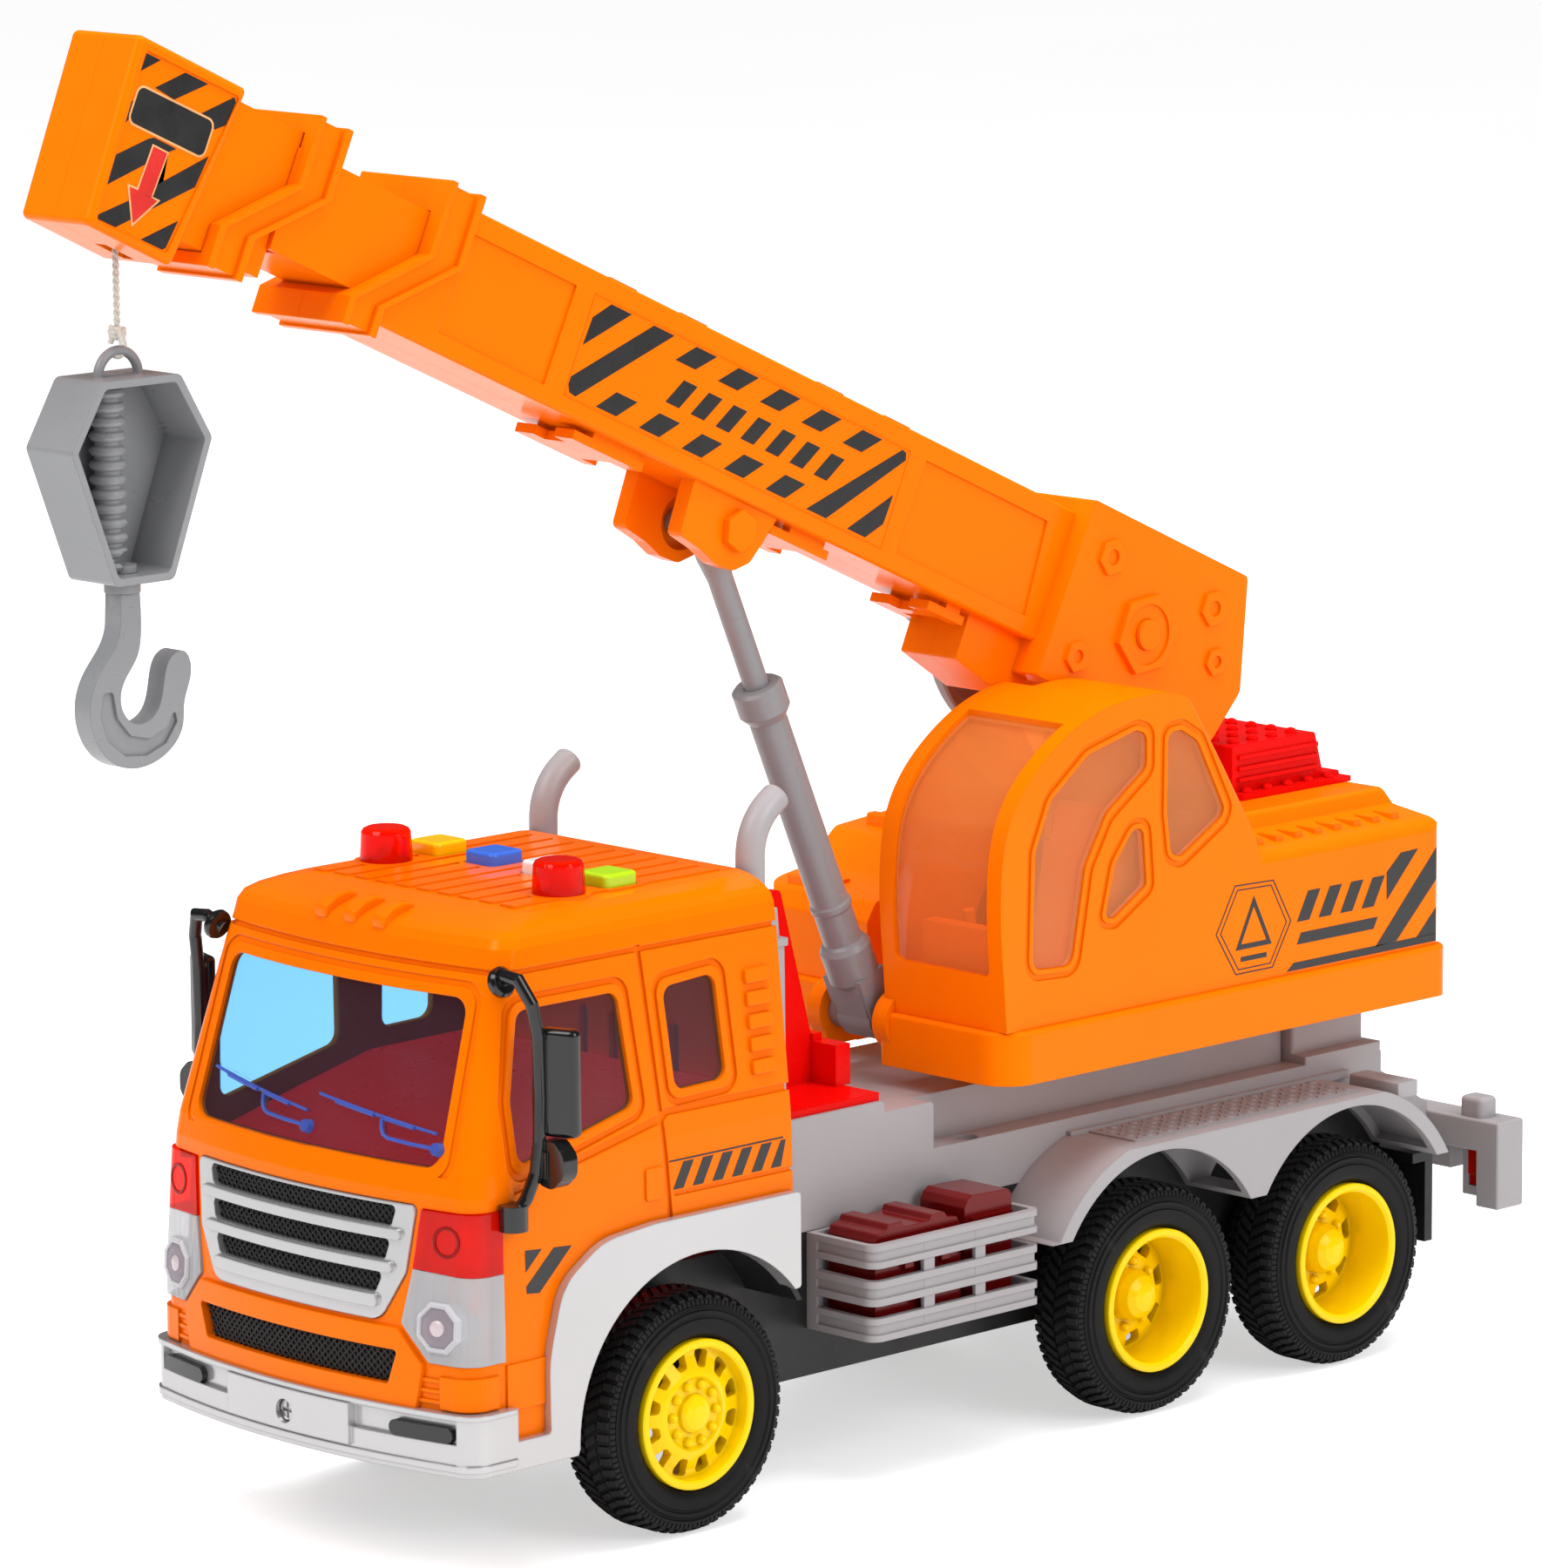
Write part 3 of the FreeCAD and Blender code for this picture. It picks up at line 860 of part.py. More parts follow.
# operator's seat and console moulded on the base floor
base = fuse([base, box(20.0, 118.0, 90.0, 42.0, 146.0, 106.0),
             prism_x([(138.0, 90.0), (150.0, 90.0), (156.0, 144.0), (149.0, 147.0),
                      (142.0, 110.0)], 20.0, 42.0, 2.5),
             box(17.0, 108.5, 90.0, 44.0, 113.0, 122.0)]
            + [cyl(1.4, (x, 120.0, 105.0), (x, 117.0, 124.0)) for x in (24.0, 38.0)])
base = base.cut([cylx(TRUNNION_R + FIT, -20, 20, RAM_Y, RAM_Z),
                 cylz(HUB_R + FIT, 80, 91.5, 0, SLEW_Y), box(-8.8, 96, 80, 8.8, 124.0, 110)])
base = clean(base)
put("turntable_base", base)

# ================================================================ slewing house
HOUSE_HALF = 50.2
CABIN_X = 10.2    # inner side of the cabin
# (y, z) lines of the cabin, outside and inside: smooth front and roof, then the straight back
CABIN_ARCH = [(102.0, 112.0), (101.1, 124.0), (101.2, 136.0), (103.6, 148.3), (109.0, 156.9),
              (116.1, 163.3), (126.0, 169.3), (136.5, 172.9), (148.7, 174.3), (158.5, 174.0),
              (164.6, 172.2), (169.0, 168.9)]
CABIN_BACK = [(179.5, 153.1), (187.4, 140.4), (190.2, 131.0), (190.2, SKIRT_TOP),
              (103.0, SKIRT_TOP)]
ROOM_ARCH = [(104.2, 112.0), (103.3, 124.0), (103.4, 136.0), (105.6, 147.2), (110.6, 155.2),
             (117.3, 161.4), (126.8, 167.2), (136.9, 170.7), (148.7, 172.0), (158.2, 171.8),
             (163.6, 170.2), (167.3, 167.4)]
ROOM_BACK = [(177.6, 151.9), (185.2, 139.6), (188.0, 130.4), (188.0, 90.0), (105.4, 90.0)]
# (y, z) outline and corner radii of the windows in the left wall
CABIN_WINDOWS = [
    ([(111.6, 113.6), (125.1, 112.9), (129.6, 135.9), (136.9, 147.7), (150.6, 156.8),
      (150.6, 165.1), (146.9, 166.4), (130.5, 162.5), (117.9, 153.3), (112.5, 141.4)],
     [3, 3, 4, 6, 3, 2.5, 3, 6, 6, 6]),
    ([(136.2, 122.8), (139.6, 135.2), (146.0, 142.9), (149.4, 142.4), (150.6, 128.6),
      (139.4, 122.2)], [2.2, 4, 3, 2, 2, 1.6]),
    ([(157.9, 164.4), (162.5, 164.6), (168.3, 161.2), (177.7, 143.7), (176.6, 141.6),
      (162.4, 133.8), (158.9, 135.2), (157.5, 145.0)], [2.5, 2.5, 4, 2.5, 2.0, 3.0, 2.2, 4])]

cabin = smooth_x(CABIN_ARCH, CABIN_X, HOUSE_HALF, CABIN_BACK)
cabin_wall = box(19.8, 147.0, 136.0, 22.0, 186.0, 172.5).common(cabin)
cabin_room = smooth_x(ROOM_ARCH, 12.4, 48.0, ROOM_BACK)
cabin = soft(cabin, 3.2, lambda edge: near(edge.CenterOfMass.x, HOUSE_HALF, CABIN_X)
             and edge.CenterOfMass.z > 105)
# rear body: rounded upright corners at the back, top sloped at the back
rear = prism_y([(-HOUSE_HALF, SKIRT_TOP), (HOUSE_HALF, SKIRT_TOP), (HOUSE_HALF, 131.0),
                (36.8, 133.4), (35.4, 137.6), (-35.4, 137.6), (-36.8, 133.4),
                (-HOUSE_HALF, 131.0)], 188.0, 256.2, [0, 0, 3.6, 0.8, 1.6, 1.6, 0.8, 3.6])
rear_room = prism_y([(-48.0, 90), (48.0, 90), (48.0, 126.4), (45.6, 129.0), (34.8, 131.2),
                     (33.4, 135.4), (-33.4, 135.4), (-34.8, 131.2), (-45.6, 129.0),
                     (-48.0, 126.4)], 180.0, 254.0)
rear = rear.common(prism_z([(HOUSE_HALF, 180.0), (HOUSE_HALF, 256.2), (-HOUSE_HALF, 256.2),
                            (-HOUSE_HALF, 180.0)], 90.0, 150.0, [0, 2.8, 2.8, 0]))
rear = rear.cut(prism_x([(250.0, 138.6), (257.0, 127.0), (262.0, 127.0), (262.0, 145.0),
                         (250.0, 145.0)], -60, 60))
# right-hand hood and its steps
hood = prism_x([(119.0, SKIRT_TOP), (119.0, 115.8), (122.0, 120.4), (136.0, 122.4),
                (146.0, 131.0), (189.0, 134.6), (189.0, SKIRT_TOP)],
               -HOUSE_HALF, -12.0, [0, 2.0, 3.0, 4.0, 4.0, 0, 0])
hood = hood.common(prism_z([(-12.0, 119.0), (-12.0, 200.0), (-HOUSE_HALF, 200.0),
                            (-HOUSE_HALF, 119.0)], 90, 150, [0.0, 0, 0, 10.0]))
hood = soft(hood, 2.0, lambda edge: near(edge.CenterOfMass.x, -HOUSE_HALF)
            and edge.CenterOfMass.z > 118.0)
hood_room = prism_x([(121.4, 90.0), (121.4, 115.0), (124.0, 118.4), (137.0, 120.2),
                     (147.0, 128.8), (192.0, 132.4), (192.0, 90.0)], -48.0, -14.0)
# fairing between the hood and the cabin, in front of the boom post
fairing = smooth_x([(126.2, SKIRT_TOP), (126.6, 108.0), (128.4, 118.0), (132.6, 126.6),
                    (139.4, 132.6), (148.0, 135.8), (158.0, 136.6)], -12.6, 10.8,
                   [(190.0, 136.6), (190.0, SKIRT_TOP)])
fairing_room = smooth_x([(128.4, 98.0), (128.8, 108.0), (130.4, 117.2), (134.2, 124.8),
                         (140.4, 130.4), (148.4, 133.6), (158.0, 134.4)], -14.2, 12.6,
                        [(190.0, 134.4), (190.0, 98.0)])
boom_post = prism_x([(170.0, 100.0), (197.0, 100.0), (193.5, PIVOT_Z), (193.2, 186.0),
                     (188.6, 191.2), (178.4, 191.2), (173.8, 186.0), (173.5, PIVOT_Z)],
                    -14.4, 14.4, [0, 0, 0, 3, 4, 4, 3, 0])
post_room = prism_x([(172.4, 90.0), (194.6, 90.0), (191.2, 180.0), (175.8, 180.0)], -12.0, 12.0)
house = fuse([cabin, rear, hood, fairing]).cut(
    fuse([cabin_room, rear_room, hood_room, fairing_room]))
house = house.fuse(boom_post)
house = house.cut(post_room.common(box(-12.0, 160, 80, 12.0, 200, 170.0)))
house = house.fuse(cylx(9.4, -14.4, 14.4, PIVOT_Y, PIVOT_Z))
# pin hole, ram socket clearance, room for the boom foot beside the cabin
house = house.cut([cylx(PIN_R, -15, 15, PIVOT_Y, PIVOT_Z),
                   cylx(7.35, -13.45, 13.45, RAM_Y, RAM_Z),
                   cylx(41.0, 9.0, 19.8, PIVOT_Y, PIVOT_Z).common(
                       box(9.0, 140.0, 137.0, 19.8, 230.0, 230.0))])
house = house.fuse(cabin_wall)
house = house.cut([prism_x(outline, 44, 60, radii) for outline, radii in CABIN_WINDOWS])
# grooves round the windows
house = house.cut([
    prism_x(grow(outline, 2.6), HOUSE_HALF - 0.6, 51.4, [r + 2.0 for r in radii]).cut(
        prism_x(grow(outline, 1.2), 49.0, 52.0, [r + 1.0 for r in radii]))
    for outline, radii in CABIN_WINDOWS])
# windscreen strip running from the front over the roof
strip = smooth_x(CABIN_ARCH, 14.6, 45.6, CABIN_BACK).cut(
    smooth_x(ROOM_ARCH, 14.0, 46.0, ROOM_BACK))
strip = strip.common(prism_y(rect(14.6, 112.8, 45.6, 200.0), 95.0, 127.0, [1.8, 1.8, 0, 0]))
house = house.cut(strip)
# small ribs on the rear body and the hood
ribs = []
for k in range(8):
    y = 193.0 + 7.0 * k
    ribs += both(prism_x([(y, 129.0), (y + 4.2, 129.0), (y + 3.2, 133.4), (y + 1.0, 133.4)],
                         39.4, 45.6, 0.5))
for k in range(3):
    y = 150.0 + 8.0 * k
    ribs.append(prism_x([(y, 128.0), (y + 4.6, 128.0), (y + 4.0, 134.4), (y + 0.8, 134.4)],
                        -44.0, -20.0, 0.6))
ribs.append(box(-44.0, 123.6, 117.0, -30.0, 131.0, 122.4))
house = largest(fuse([house] + ribs).cut(base))

# studded engine block on the rear body
engine = [prism_x([(213.0, 137.6), (252.0, 137.6), (252.0, 140.0), (246.0, 140.0),
                   (243.0, 150.6), (213.0, 150.6)], -20.0, 20.0, [0, 0, 0.6, 0, 0.8, 0.8]),
          box(-24.0, 212.4, 137.6, 24.0, 252.0, 139.0)]
for i in range(6):
    for j in range(4):
        engine.append(rev_z([(0, 150.0), (1.5, 150.0), (1.5, 151.0), (1.15, 151.6),
                             (0.5, 151.9), (0, 151.9)], -16.5 + 6.6 * i, 217.0 + 7.0 * j))
for j in range(5):
    engine += both(rev_z([(0, 138.5), (1.3, 138.5), (1.3, 139.4), (0.95, 140.0), (0.4, 140.25),
                          (0, 140.25)], 21.8, 216.5 + 7.4 * j))
for z in (141.4, 144.2, 147.0):
    engine.append(box(-20.7, 215.0, z, 20.7, 243.6, z + 1.1))
put("engine_block", clean(fuse(engine).cut(house)))
put("house_shell", house)

# cabin glazing: curved front liner, side liner, the strip and the window panes
front_liner = smooth_x(
    [(104.25, 112.0), (103.35, 124.0), (103.45, 136.0), (105.65, 147.2), (110.7, 155.1),
     (117.4, 161.3), (126.8, 167.1), (132.0, 169.1)], 13.2, 47.2,
    [(131.4, 168.0), (126.4, 166.0), (118.1, 160.4), (111.6, 154.4), (106.7, 146.8),
     (104.6, 136.0), (104.5, 124.0), (105.4, 112.0), (105.6, 106.0), (104.4, 106.0)])
side_liner = smooth_x(
    [(105.6, 112.0), (104.7, 124.0), (104.8, 136.0), (106.9, 146.6), (111.8, 154.2),
     (118.4, 160.2), (127.2, 165.8), (137.0, 169.4), (148.7, 170.7), (158.0, 170.4),
     (163.0, 169.0), (166.4, 166.4)], 46.9, 47.95,
    [(176.6, 151.2), (184.0, 139.0), (186.8, 130.4), (186.8, 108.0), (105.9, 108.0)])
strip_pane = smooth_x(
    [(103.0, 112.0), (102.1, 124.0), (102.2, 136.0), (104.5, 147.8), (109.8, 156.0),
     (116.7, 162.3), (126.4, 168.2), (132.0, 170.4)], 14.75, 45.45,
    [(132.6, 168.9), (126.9, 166.6), (117.7, 160.9), (111.0, 154.7), (106.0, 147.0),
     (103.8, 136.0), (103.7, 124.0), (104.6, 112.0), (104.6, 111.8), (103.0, 111.8)])
strip_pane = strip_pane.common(
    prism_y(rect(14.75, 112.95, 45.45, 200.0), 95.0, 126.85, [1.7, 1.7, 0, 0]))
crane_glazing = fuse([front_liner, side_liner, strip_pane]
                     + [prism_x(grow(outline, -0.12), 47.8, 49.7, radii)
                        for outline, radii in CABIN_WINDOWS])
put("crane_glazing", clean(crane_glazing.cut([house, base])))

# ================================================================ boom coordinates
# (along, up) from the pivot: along points out to the boom head, up is square to it.
# Boom shapes are built at y = -along, z = up, then turned and moved by to_truck().
COSINE, SINE = math.cos(math.radians(ELEVATION)), math.sin(math.radians(ELEVATION))


def truck_point(along, up):
    """(y, z) in the working frame of a point in boom coordinates."""
    return (PIVOT_Y - along * COSINE + up * SINE, PIVOT_Z + along * SINE + up * COSINE)


def to_truck(shape):
    shape = shape.copy()
    shape.rotate(Vec(0, 0, 0), Vec(1, 0, 0), -ELEVATION)
    shape.translate(Vec(0, PIVOT_Y, PIVOT_Z))
    return shape


def boom_prism(points, x0, x1, radius=0.0):
    return prism_x([(-along, up) for along, up in points], x0, x1, radius)


def boom_box(along0, up0, along1, up1, x0, x1):
    return box(x0, -along1, up0, x1, -along0, up1)


def put_halves(shape, left_name, right_name):
    """Splits a boom part at x = 0 into its left and right mouldings."""
    for name, x in ((left_name, 0.0), (right_name, -60.0)):
        half = largest(shape.common(box(x, -400, -100, x + 60.0, 100, 100)))
        put(name, to_truck(half))


# ================================================================ lift ram
head_y, head_z = truck_point(*LUG)
RAM_LENGTH = math.hypot(head_y - RAM_Y, head_z - RAM_Z)


def on_ram(shape):
    """Lays a shape built up the Z axis from the origin along the ram."""
    shape = shape.copy()
    shape.rotate(Vec(0, 0, 0), Vec(1, 0, 0),
                 math.degrees(math.atan2(RAM_Y - head_y, head_z - RAM_Z)))
    shape.translate(Vec(0, RAM_Y, RAM_Z))
    return shape


barrel = rev_z([(0, 9.0), (4.4, 9.0), (6.25, 11.0), (6.25, 19.0), (5.4, 20.4), (4.7, 21.0),
                (4.7, 29.4), (5.05, 30.0), (5.05, 31.2), (4.6, 31.8), (4.6, 82.0), (5.6, 83.4),
                (6.25, 84.4), (6.25, 90.2), (5.4, 91.0), (0, 91.0)], 0, 0)
foot = prism_x([(-4.6, -2.0), (-3.6, -4.8), (3.6, -4.8), (4.6, -2.0), (4.4, 12.0), (-4.4, 12.0)],
               -5.2, 5.2, [1, 2, 2, 1, 0, 0])
foot = foot.fuse([cylx(TRUNNION_R, -13.0, 13.0, 0, 0), cylx(4.9, -5.5, 5.5, 0, 0)])
foot = foot.fuse([prism_x([(-4.2, 0.0), (4.2, 0.0), (4.4, 12.0), (-4.4, 12.0)], -6.2, 6.2)])
barrel = fuse([barrel, foot]).cut(cylz(ROD_BORE, 18.5, 98.5, 0, 0))
put("ram_barrel", on_ram(clean(barrel)))
rod = fuse([cylz(ROD_R, 47.5, RAM_LENGTH, 0, 0), cylx(4.2, -4.8, 4.8, 0, RAM_LENGTH),
            cylx(3.5, -9.0, 9.0, 0, RAM_LENGTH),
            rev_z([(0, RAM_LENGTH - 14.0), (3.05, RAM_LENGTH - 14.0), (3.9, RAM_LENGTH - 8.0),
                   (4.1, RAM_LENGTH - 2.0), (0, RAM_LENGTH)], 0, 0)])
put("ram_rod", on_ram(clean(rod)))

# ================================================================ boom main section
MAIN_TOP, MAIN_BOT, MAIN_HALF = 20.8, -12.3, 13.0


def collar(front, rear, half, flange_half, top, bottom):
    """Telescope collar: sleeve between two kinked flanges.
    front and rear hold (upper along, kink up, lower along, kink up)."""
    def path(edge, extra=0.0):
        return [(edge[0], top + extra), (edge[0], edge[1]),
                (edge[2], edge[3]), (edge[2], bottom - extra)]
    parts = [boom_prism(path(front) + path(rear)[::-1], -half, half)]
    for edge in (front, rear):
        line = path(edge, 0.7)
        flange = [(a - 1.0, b) for a, b in line] + [(a + 1.0, b) for a, b in line[::-1]]
        parts.append(boom_prism(flange, -flange_half, flange_half, 0.3))
    return parts


def hexagon_at(along, up, radius, x0, x1, phase):
    return boom_prism([polar(along, up, radius, phase + 60 * k) for k in range(6)], x0, x1)


beam = boom_prism([(26.0, MAIN_TOP), (246.0, MAIN_TOP), (246.0, 6.4), (264.0, -9.4),
                   (264.0, MAIN_BOT), (26.0, MAIN_BOT)], -MAIN_HALF, MAIN_HALF)
beam = soft(beam, 0.9, lambda edge: near(abs(edge.CenterOfMass.x), MAIN_HALF)
            and near(edge.CenterOfMass.z, MAIN_TOP, MAIN_BOT))
boom_foot = boom_prism([(29.4, 24.4), (-29.7, 24.4), (-38.9, -2.4), (-33.9, -16.8),
                        (-20.0, -20.6), (31.0, -20.6)], -18.0, 18.0, [0.6, 1.5, 3.0, 2.0, 1.0, 0.6])
wedge = boom_prism([(50.4, -11.0), (50.4, -23.6), (32.0, -26.6), (24.0, -20.0), (24.0, -11.0)],
                   -9.2, 9.2, [0, 0.6, 0.6, 0, 0])
main_collar = collar((250.5, 6.3, 268.6, -9.6), (241.5, 6.9, 260.0, -9.1), 14.0, 15.2,
                     23.2, -15.2)
lug = boom_prism([(122.0, -11.0), (124.6, -19.0), (126.6, -24.4), (131.0, -27.9),
                  (137.0, -28.2), (142.6, -26.6), (150.4, -25.6), (151.2, -11.0)],
                 7.0, 11.4, [0, 2, 3, 3, 3, 3, 1.6, 0])
nuts = [hexagon_at(*LUG, 5.0, 11.0, 13.4, 12.0)]
# (y, z) in the working frame, then radius
for y, z, radius in ((172.1, 201.6, 4.6), (207.9, 185.1, 4.6), (159.8, 178.9, 4.0),
                     (208.6, 171.9, 3.6)):
    back_y, rise = y - PIVOT_Y, z - PIVOT_Z
    along, up = -back_y * COSINE + rise * SINE, back_y * SINE + rise * COSINE
    nuts.append(hexagon_at(along, up, radius, 17.5, 19.0, 90.0).cut(
        cylx(radius * 0.42, 18.3, 22.3, -along, up)))
pivot_nut = hexagon_at(0, 0, 10.2, 17.5, 19.6, 90.0).cut(cylx(7.4, 19.0, 23.0, 0, 0))
plates = []
for start, end in ((166.0, 189.5), (101.5, 121.6), (52.0, 65.0)):
    plates.append(boom_box(start, -15.8, end, -13.6, -9.6, 9.6).cut([
        boom_box(end - 4.0, -17, end + 1, -12, -3.4, 3.4),
        boom_box(start - 1, -17, start + 5.0, -12, -5.6, 5.6)]))
    plates += both(boom_box(start + 2.0, -14.0, end - 6.0, -12.0, 7.0, 9.6))
bumps = both(*[boom_box(start, 20.4, start + 9.0, 21.7, 5.2, 9.6)
               for start in (184.0, 160.0, 112.0, 88.0)])
main = fuse([beam, boom_foot, wedge] + main_collar + both(lug) + both(*nuts) + [pivot_nut]
            + plates + bumps)
side_panels = [
    boom_prism([(50.0, 15.6), (83.0, 15.6), (83.6, -7.6), (36.0, -7.6), (38.0, 15.6)],
               12.35, 14.5).common(boom_box(31.2, -12, 258.6, 20, -14.6, 14.6)),
    boom_prism([(205.0, 15.6), (239.0, 15.6), (239.0, 5.0), (254.0, -7.8), (205.6, -8.2)],
               12.35, 14.5).common(boom_box(200, -12, 240.3, 20, -14.6, 14.6))]
main = main.cut([
    boom_box(33.0, -7.6, 300.0, 16.4, -11.25, 11.25),
    # hollow foot, open below for the post
    boom_prism([(26.0, 22.0), (-28.0, 22.0), (-36.2, -2.4), (-31.6, -15.0), (-29.0, -30.0),
                (24.0, -30.0)], -15.4, 15.4),
    boom_box(20.0, -7.6, 36.0, 16.4, -11.25, 11.25),
    # ram head recess
    cylx(6.4, -9.7, 9.7, -LUG[0], LUG[1]).common(
        boom_box(100, -40, 170, MAIN_BOT - 0.2, -12, 12))] + both(*side_panels))
# pivot pin bore, pin end recess on the left, string slot on the right
main = main.cut([cylx(PIN_R + FIT, -30, 30, 0, 0), cylx(3.8, 18.7, 22.7, 0, 0),
                 boom_box(6.0, 9.5, 14.0, 13.0, -20.0, -14.0)])
put_halves(main.removeSplitter(), "boom_left_shell", "boom_right_shell")

# ================================================================ boom middle and head
middle = fuse([boom_box(132.0, -7.3, 292.0, 16.1, -11.0, 11.0)]
              + collar((290.5, 7.9, 308.0, -7.6), (282.2, 7.7, 299.4, -7.3), 12.0, 13.2,
                       23.4, -16.4))
middle = middle.cut([boom_box(120.0, -5.3, 291.0, 14.1, -9.1, 9.1),
                     boom_box(289.0, -14.25, 312.0, 19.75, -9.9, 9.9)])
put("boom_middle", to_truck(largest(middle)))

HEAD_HALF = 11.6
head = boom_prism([(311.4, 22.3), (344.4, 22.6), (342.4, -19.8), (316.8, -20.3),
                   (316.0, -15.0), (313.6, 5.0)], -HEAD_HALF, HEAD_HALF,
                  [1.2, 1.4, 1.4, 1.2, 0, 0])
head = soft(head, 1.6, lambda edge: near(abs(edge.CenterOfMass.x), HEAD_HALF)
            and -edge.CenterOfMass.y > 341.0)
head = fuse([head, boom_box(291.6, -13.9, 318.0, 19.5, -9.6, 9.6),
             boom_box(172.0, -5.0, 300.0, 13.8, -8.8, 8.8)])
head_panel = boom_prism([(313.2, 19.9), (341.6, 19.9), (340.4, -18.2), (319.4, -18.2)],
                        11.1, 12.0, 0.8)
head = head.cut([
    boom_prism([(314.6, 20.6), (342.6, 20.8), (340.9, -18.2), (318.4, -18.6)], -9.8, 9.8),
    boom_box(160.0, -3.4, 320.0, 12.2, -7.2, 7.2),
    boom_box(STRING_EXIT[0] - 4.4, -22.0, STRING_EXIT[0] + 4.4, -17.0, -1.8, 1.8)]
    + both(head_panel))
put_halves(head.removeSplitter(), "boom_head_left", "boom_head_right")

# ================================================================ pivot pin and winch
pin = fuse([cylx(PIN_R, -26.6, 20.2, PIVOT_Y, PIVOT_Z),
            cylx(5.6, -28.4, -26.6, PIVOT_Y, PIVOT_Z),
            cylx(3.7, 18.9, 20.2, PIVOT_Y, PIVOT_Z)])
put("boom_pivot_pin", pin)
crank = (PIVOT_Y - 24.6, PIVOT_Z + 2.2)
winch = fuse([rev_x([(-25.6, PIN_R + FIT), (-25.6, 27.0), (-26.4, 28.0), (-26.4, 30.0),
                     (-25.6, 30.4), (-23.4, 30.4), (-22.6, 30.0), (-22.6, 28.0), (-23.4, 27.0),
                     (-23.4, 9.0), (-21.2, 8.0), (-19.8, 8.0), (-19.8, 12.0), (-19.05, 12.0),
                     (-19.05, PIN_R + FIT)], PIVOT_Y, PIVOT_Z),
              cylx(2.7, -35.0, -25.0, *crank),
              rev_x([(-37.4, 0), (-37.4, 1.2), (-36.6, 2.2), (-35.0, 2.7), (-35.0, 0)], *crank)])
for k in range(6):
    inner, outer = [(-25.4,) + polar(PIVOT_Y, PIVOT_Z, radius, 60 * k + 5) for radius in (7, 27)]
    winch = winch.fuse(cyl(1.2, inner, outer))
put("winch_wheel", clean(winch.cut(pin)))

# ================================================================ string, hook block, hook
HOOK_Y, EXIT_Z = truck_point(*STRING_EXIT)
KNOT_Z = EXIT_Z - 18.4
BLOCK_TOP = EXIT_Z - 27.2
SHANK_R = 2.0
string = fuse([cylz(0.6, KNOT_Z - 0.5, EXIT_Z + 12.0, 0, HOOK_Y),
               rev_z([(0, KNOT_Z - 1.6), (1.1, KNOT_Z - 1.6), (1.8, KNOT_Z - 0.6),
                      (1.8, KNOT_Z + 0.8), (1.1, KNOT_Z + 1.7), (0, KNOT_Z + 1.7)], 0, HOOK_Y)])


def block_prism(points, x0, x1, radius):
    return prism_x([(HOOK_Y + a, BLOCK_TOP + b) for a, b in points], x0, x1, radius)


block = block_prism([(-11.0, 0.0), (11.0, 0.0), (19.6, -14.6), (8.2, -44.6), (-8.2, -44.6),
                     (-19.6, -14.6)], -7.7, 7.7, [2, 2, 1.6, 2, 2, 1.6])
block = block.cut(block_prism([(-9.8, -1.7), (9.8, -1.7), (17.7, -14.8), (7.1, -42.9),
                               (-7.1, -42.9), (-17.7, -14.8)], -6.1, 9.0,
                              [1.6, 1.6, 1.2, 1.6, 1.6, 1.2]))
# column with thirteen beads inside the block
column = [(0, BLOCK_TOP - 43.0), (2.9, BLOCK_TOP - 43.0)]
for k in range(13):
    z = BLOCK_TOP - 41.4 + 3.15 * k
    column += [(2.9, z - 1.2), (3.7, z - 0.8), (4.1, z), (3.7, z + 0.8), (2.9, z + 1.2)]
column += [(2.9, BLOCK_TOP - 1.2), (0, BLOCK_TOP - 1.2)]
loop = Part.makeTorus(5.6, 1.1, Vec(0, HOOK_Y, BLOCK_TOP - 0.3), Vec(1, 0, 0)).common(
    box(-5, HOOK_Y - 10, BLOCK_TOP - 1.0, 5, HOOK_Y + 10, BLOCK_TOP + 10))
block = fuse([block, rev_z(column, -1.2, HOOK_Y - 2.4), loop,
              cylz(4.0, BLOCK_TOP - 47.2, BLOCK_TOP - 44.0, 0, HOOK_Y)])
block = block.cut([cylz(SHANK_R + FIT, BLOCK_TOP - 60, BLOCK_TOP - 38.0, 0, HOOK_Y),
                   cylz(3.4, BLOCK_TOP - 43.0, BLOCK_TOP - 38.0, 0, HOOK_Y)])
block = clean(block)
put("hoist_string", clean(string.cut(block)))
put("hook_block", block)

# hook: flat J with a thick back, a point and a relief pocket on each face
HOOK_TOP = BLOCK_TOP - 47.3
HOOK_WIDTH = 0.96    # factor on the first column of both outlines
HOOK_HALF = 2.7      # half thickness
# (y, z) from the top middle of the hook; straight between the last, first and second points
HOOK_OUTLINE = [
    (-2.7, 0.0), (2.7, 0.0), (2.9, -8.0), (1.6, -14.0), (-2.2, -19.0), (-3.4, -22.6),
    (-1.8, -27.0), (2.4, -28.9), (6.6, -27.2), (9.0, -22.0), (12.4, -14.6), (15.2, -14.2),
    (17.2, -17.0), (16.6, -21.6), (15.2, -25.4), (14.6, -30.6), (10.6, -35.6), (5.0, -38.0),
    (-1.6, -38.2), (-8.0, -35.0), (-11.6, -29.4), (-12.2, -23.0), (-9.6, -17.0), (-5.0, -11.6),
    (-3.0, -6.0)]
POCKET = [(-5.6, -21.0), (-4.4, -27.0), (-0.6, -31.2), (5.0, -32.4), (10.0, -30.4),
          (12.4, -26.4), (13.0, -29.6), (9.6, -34.0), (4.0, -36.0), (-2.4, -35.4),
          (-7.4, -31.6), (-9.4, -26.0), (-8.4, -21.0)]


def hook_points(points):
    return [(HOOK_Y + a * HOOK_WIDTH, HOOK_TOP + b) for a, b in points]


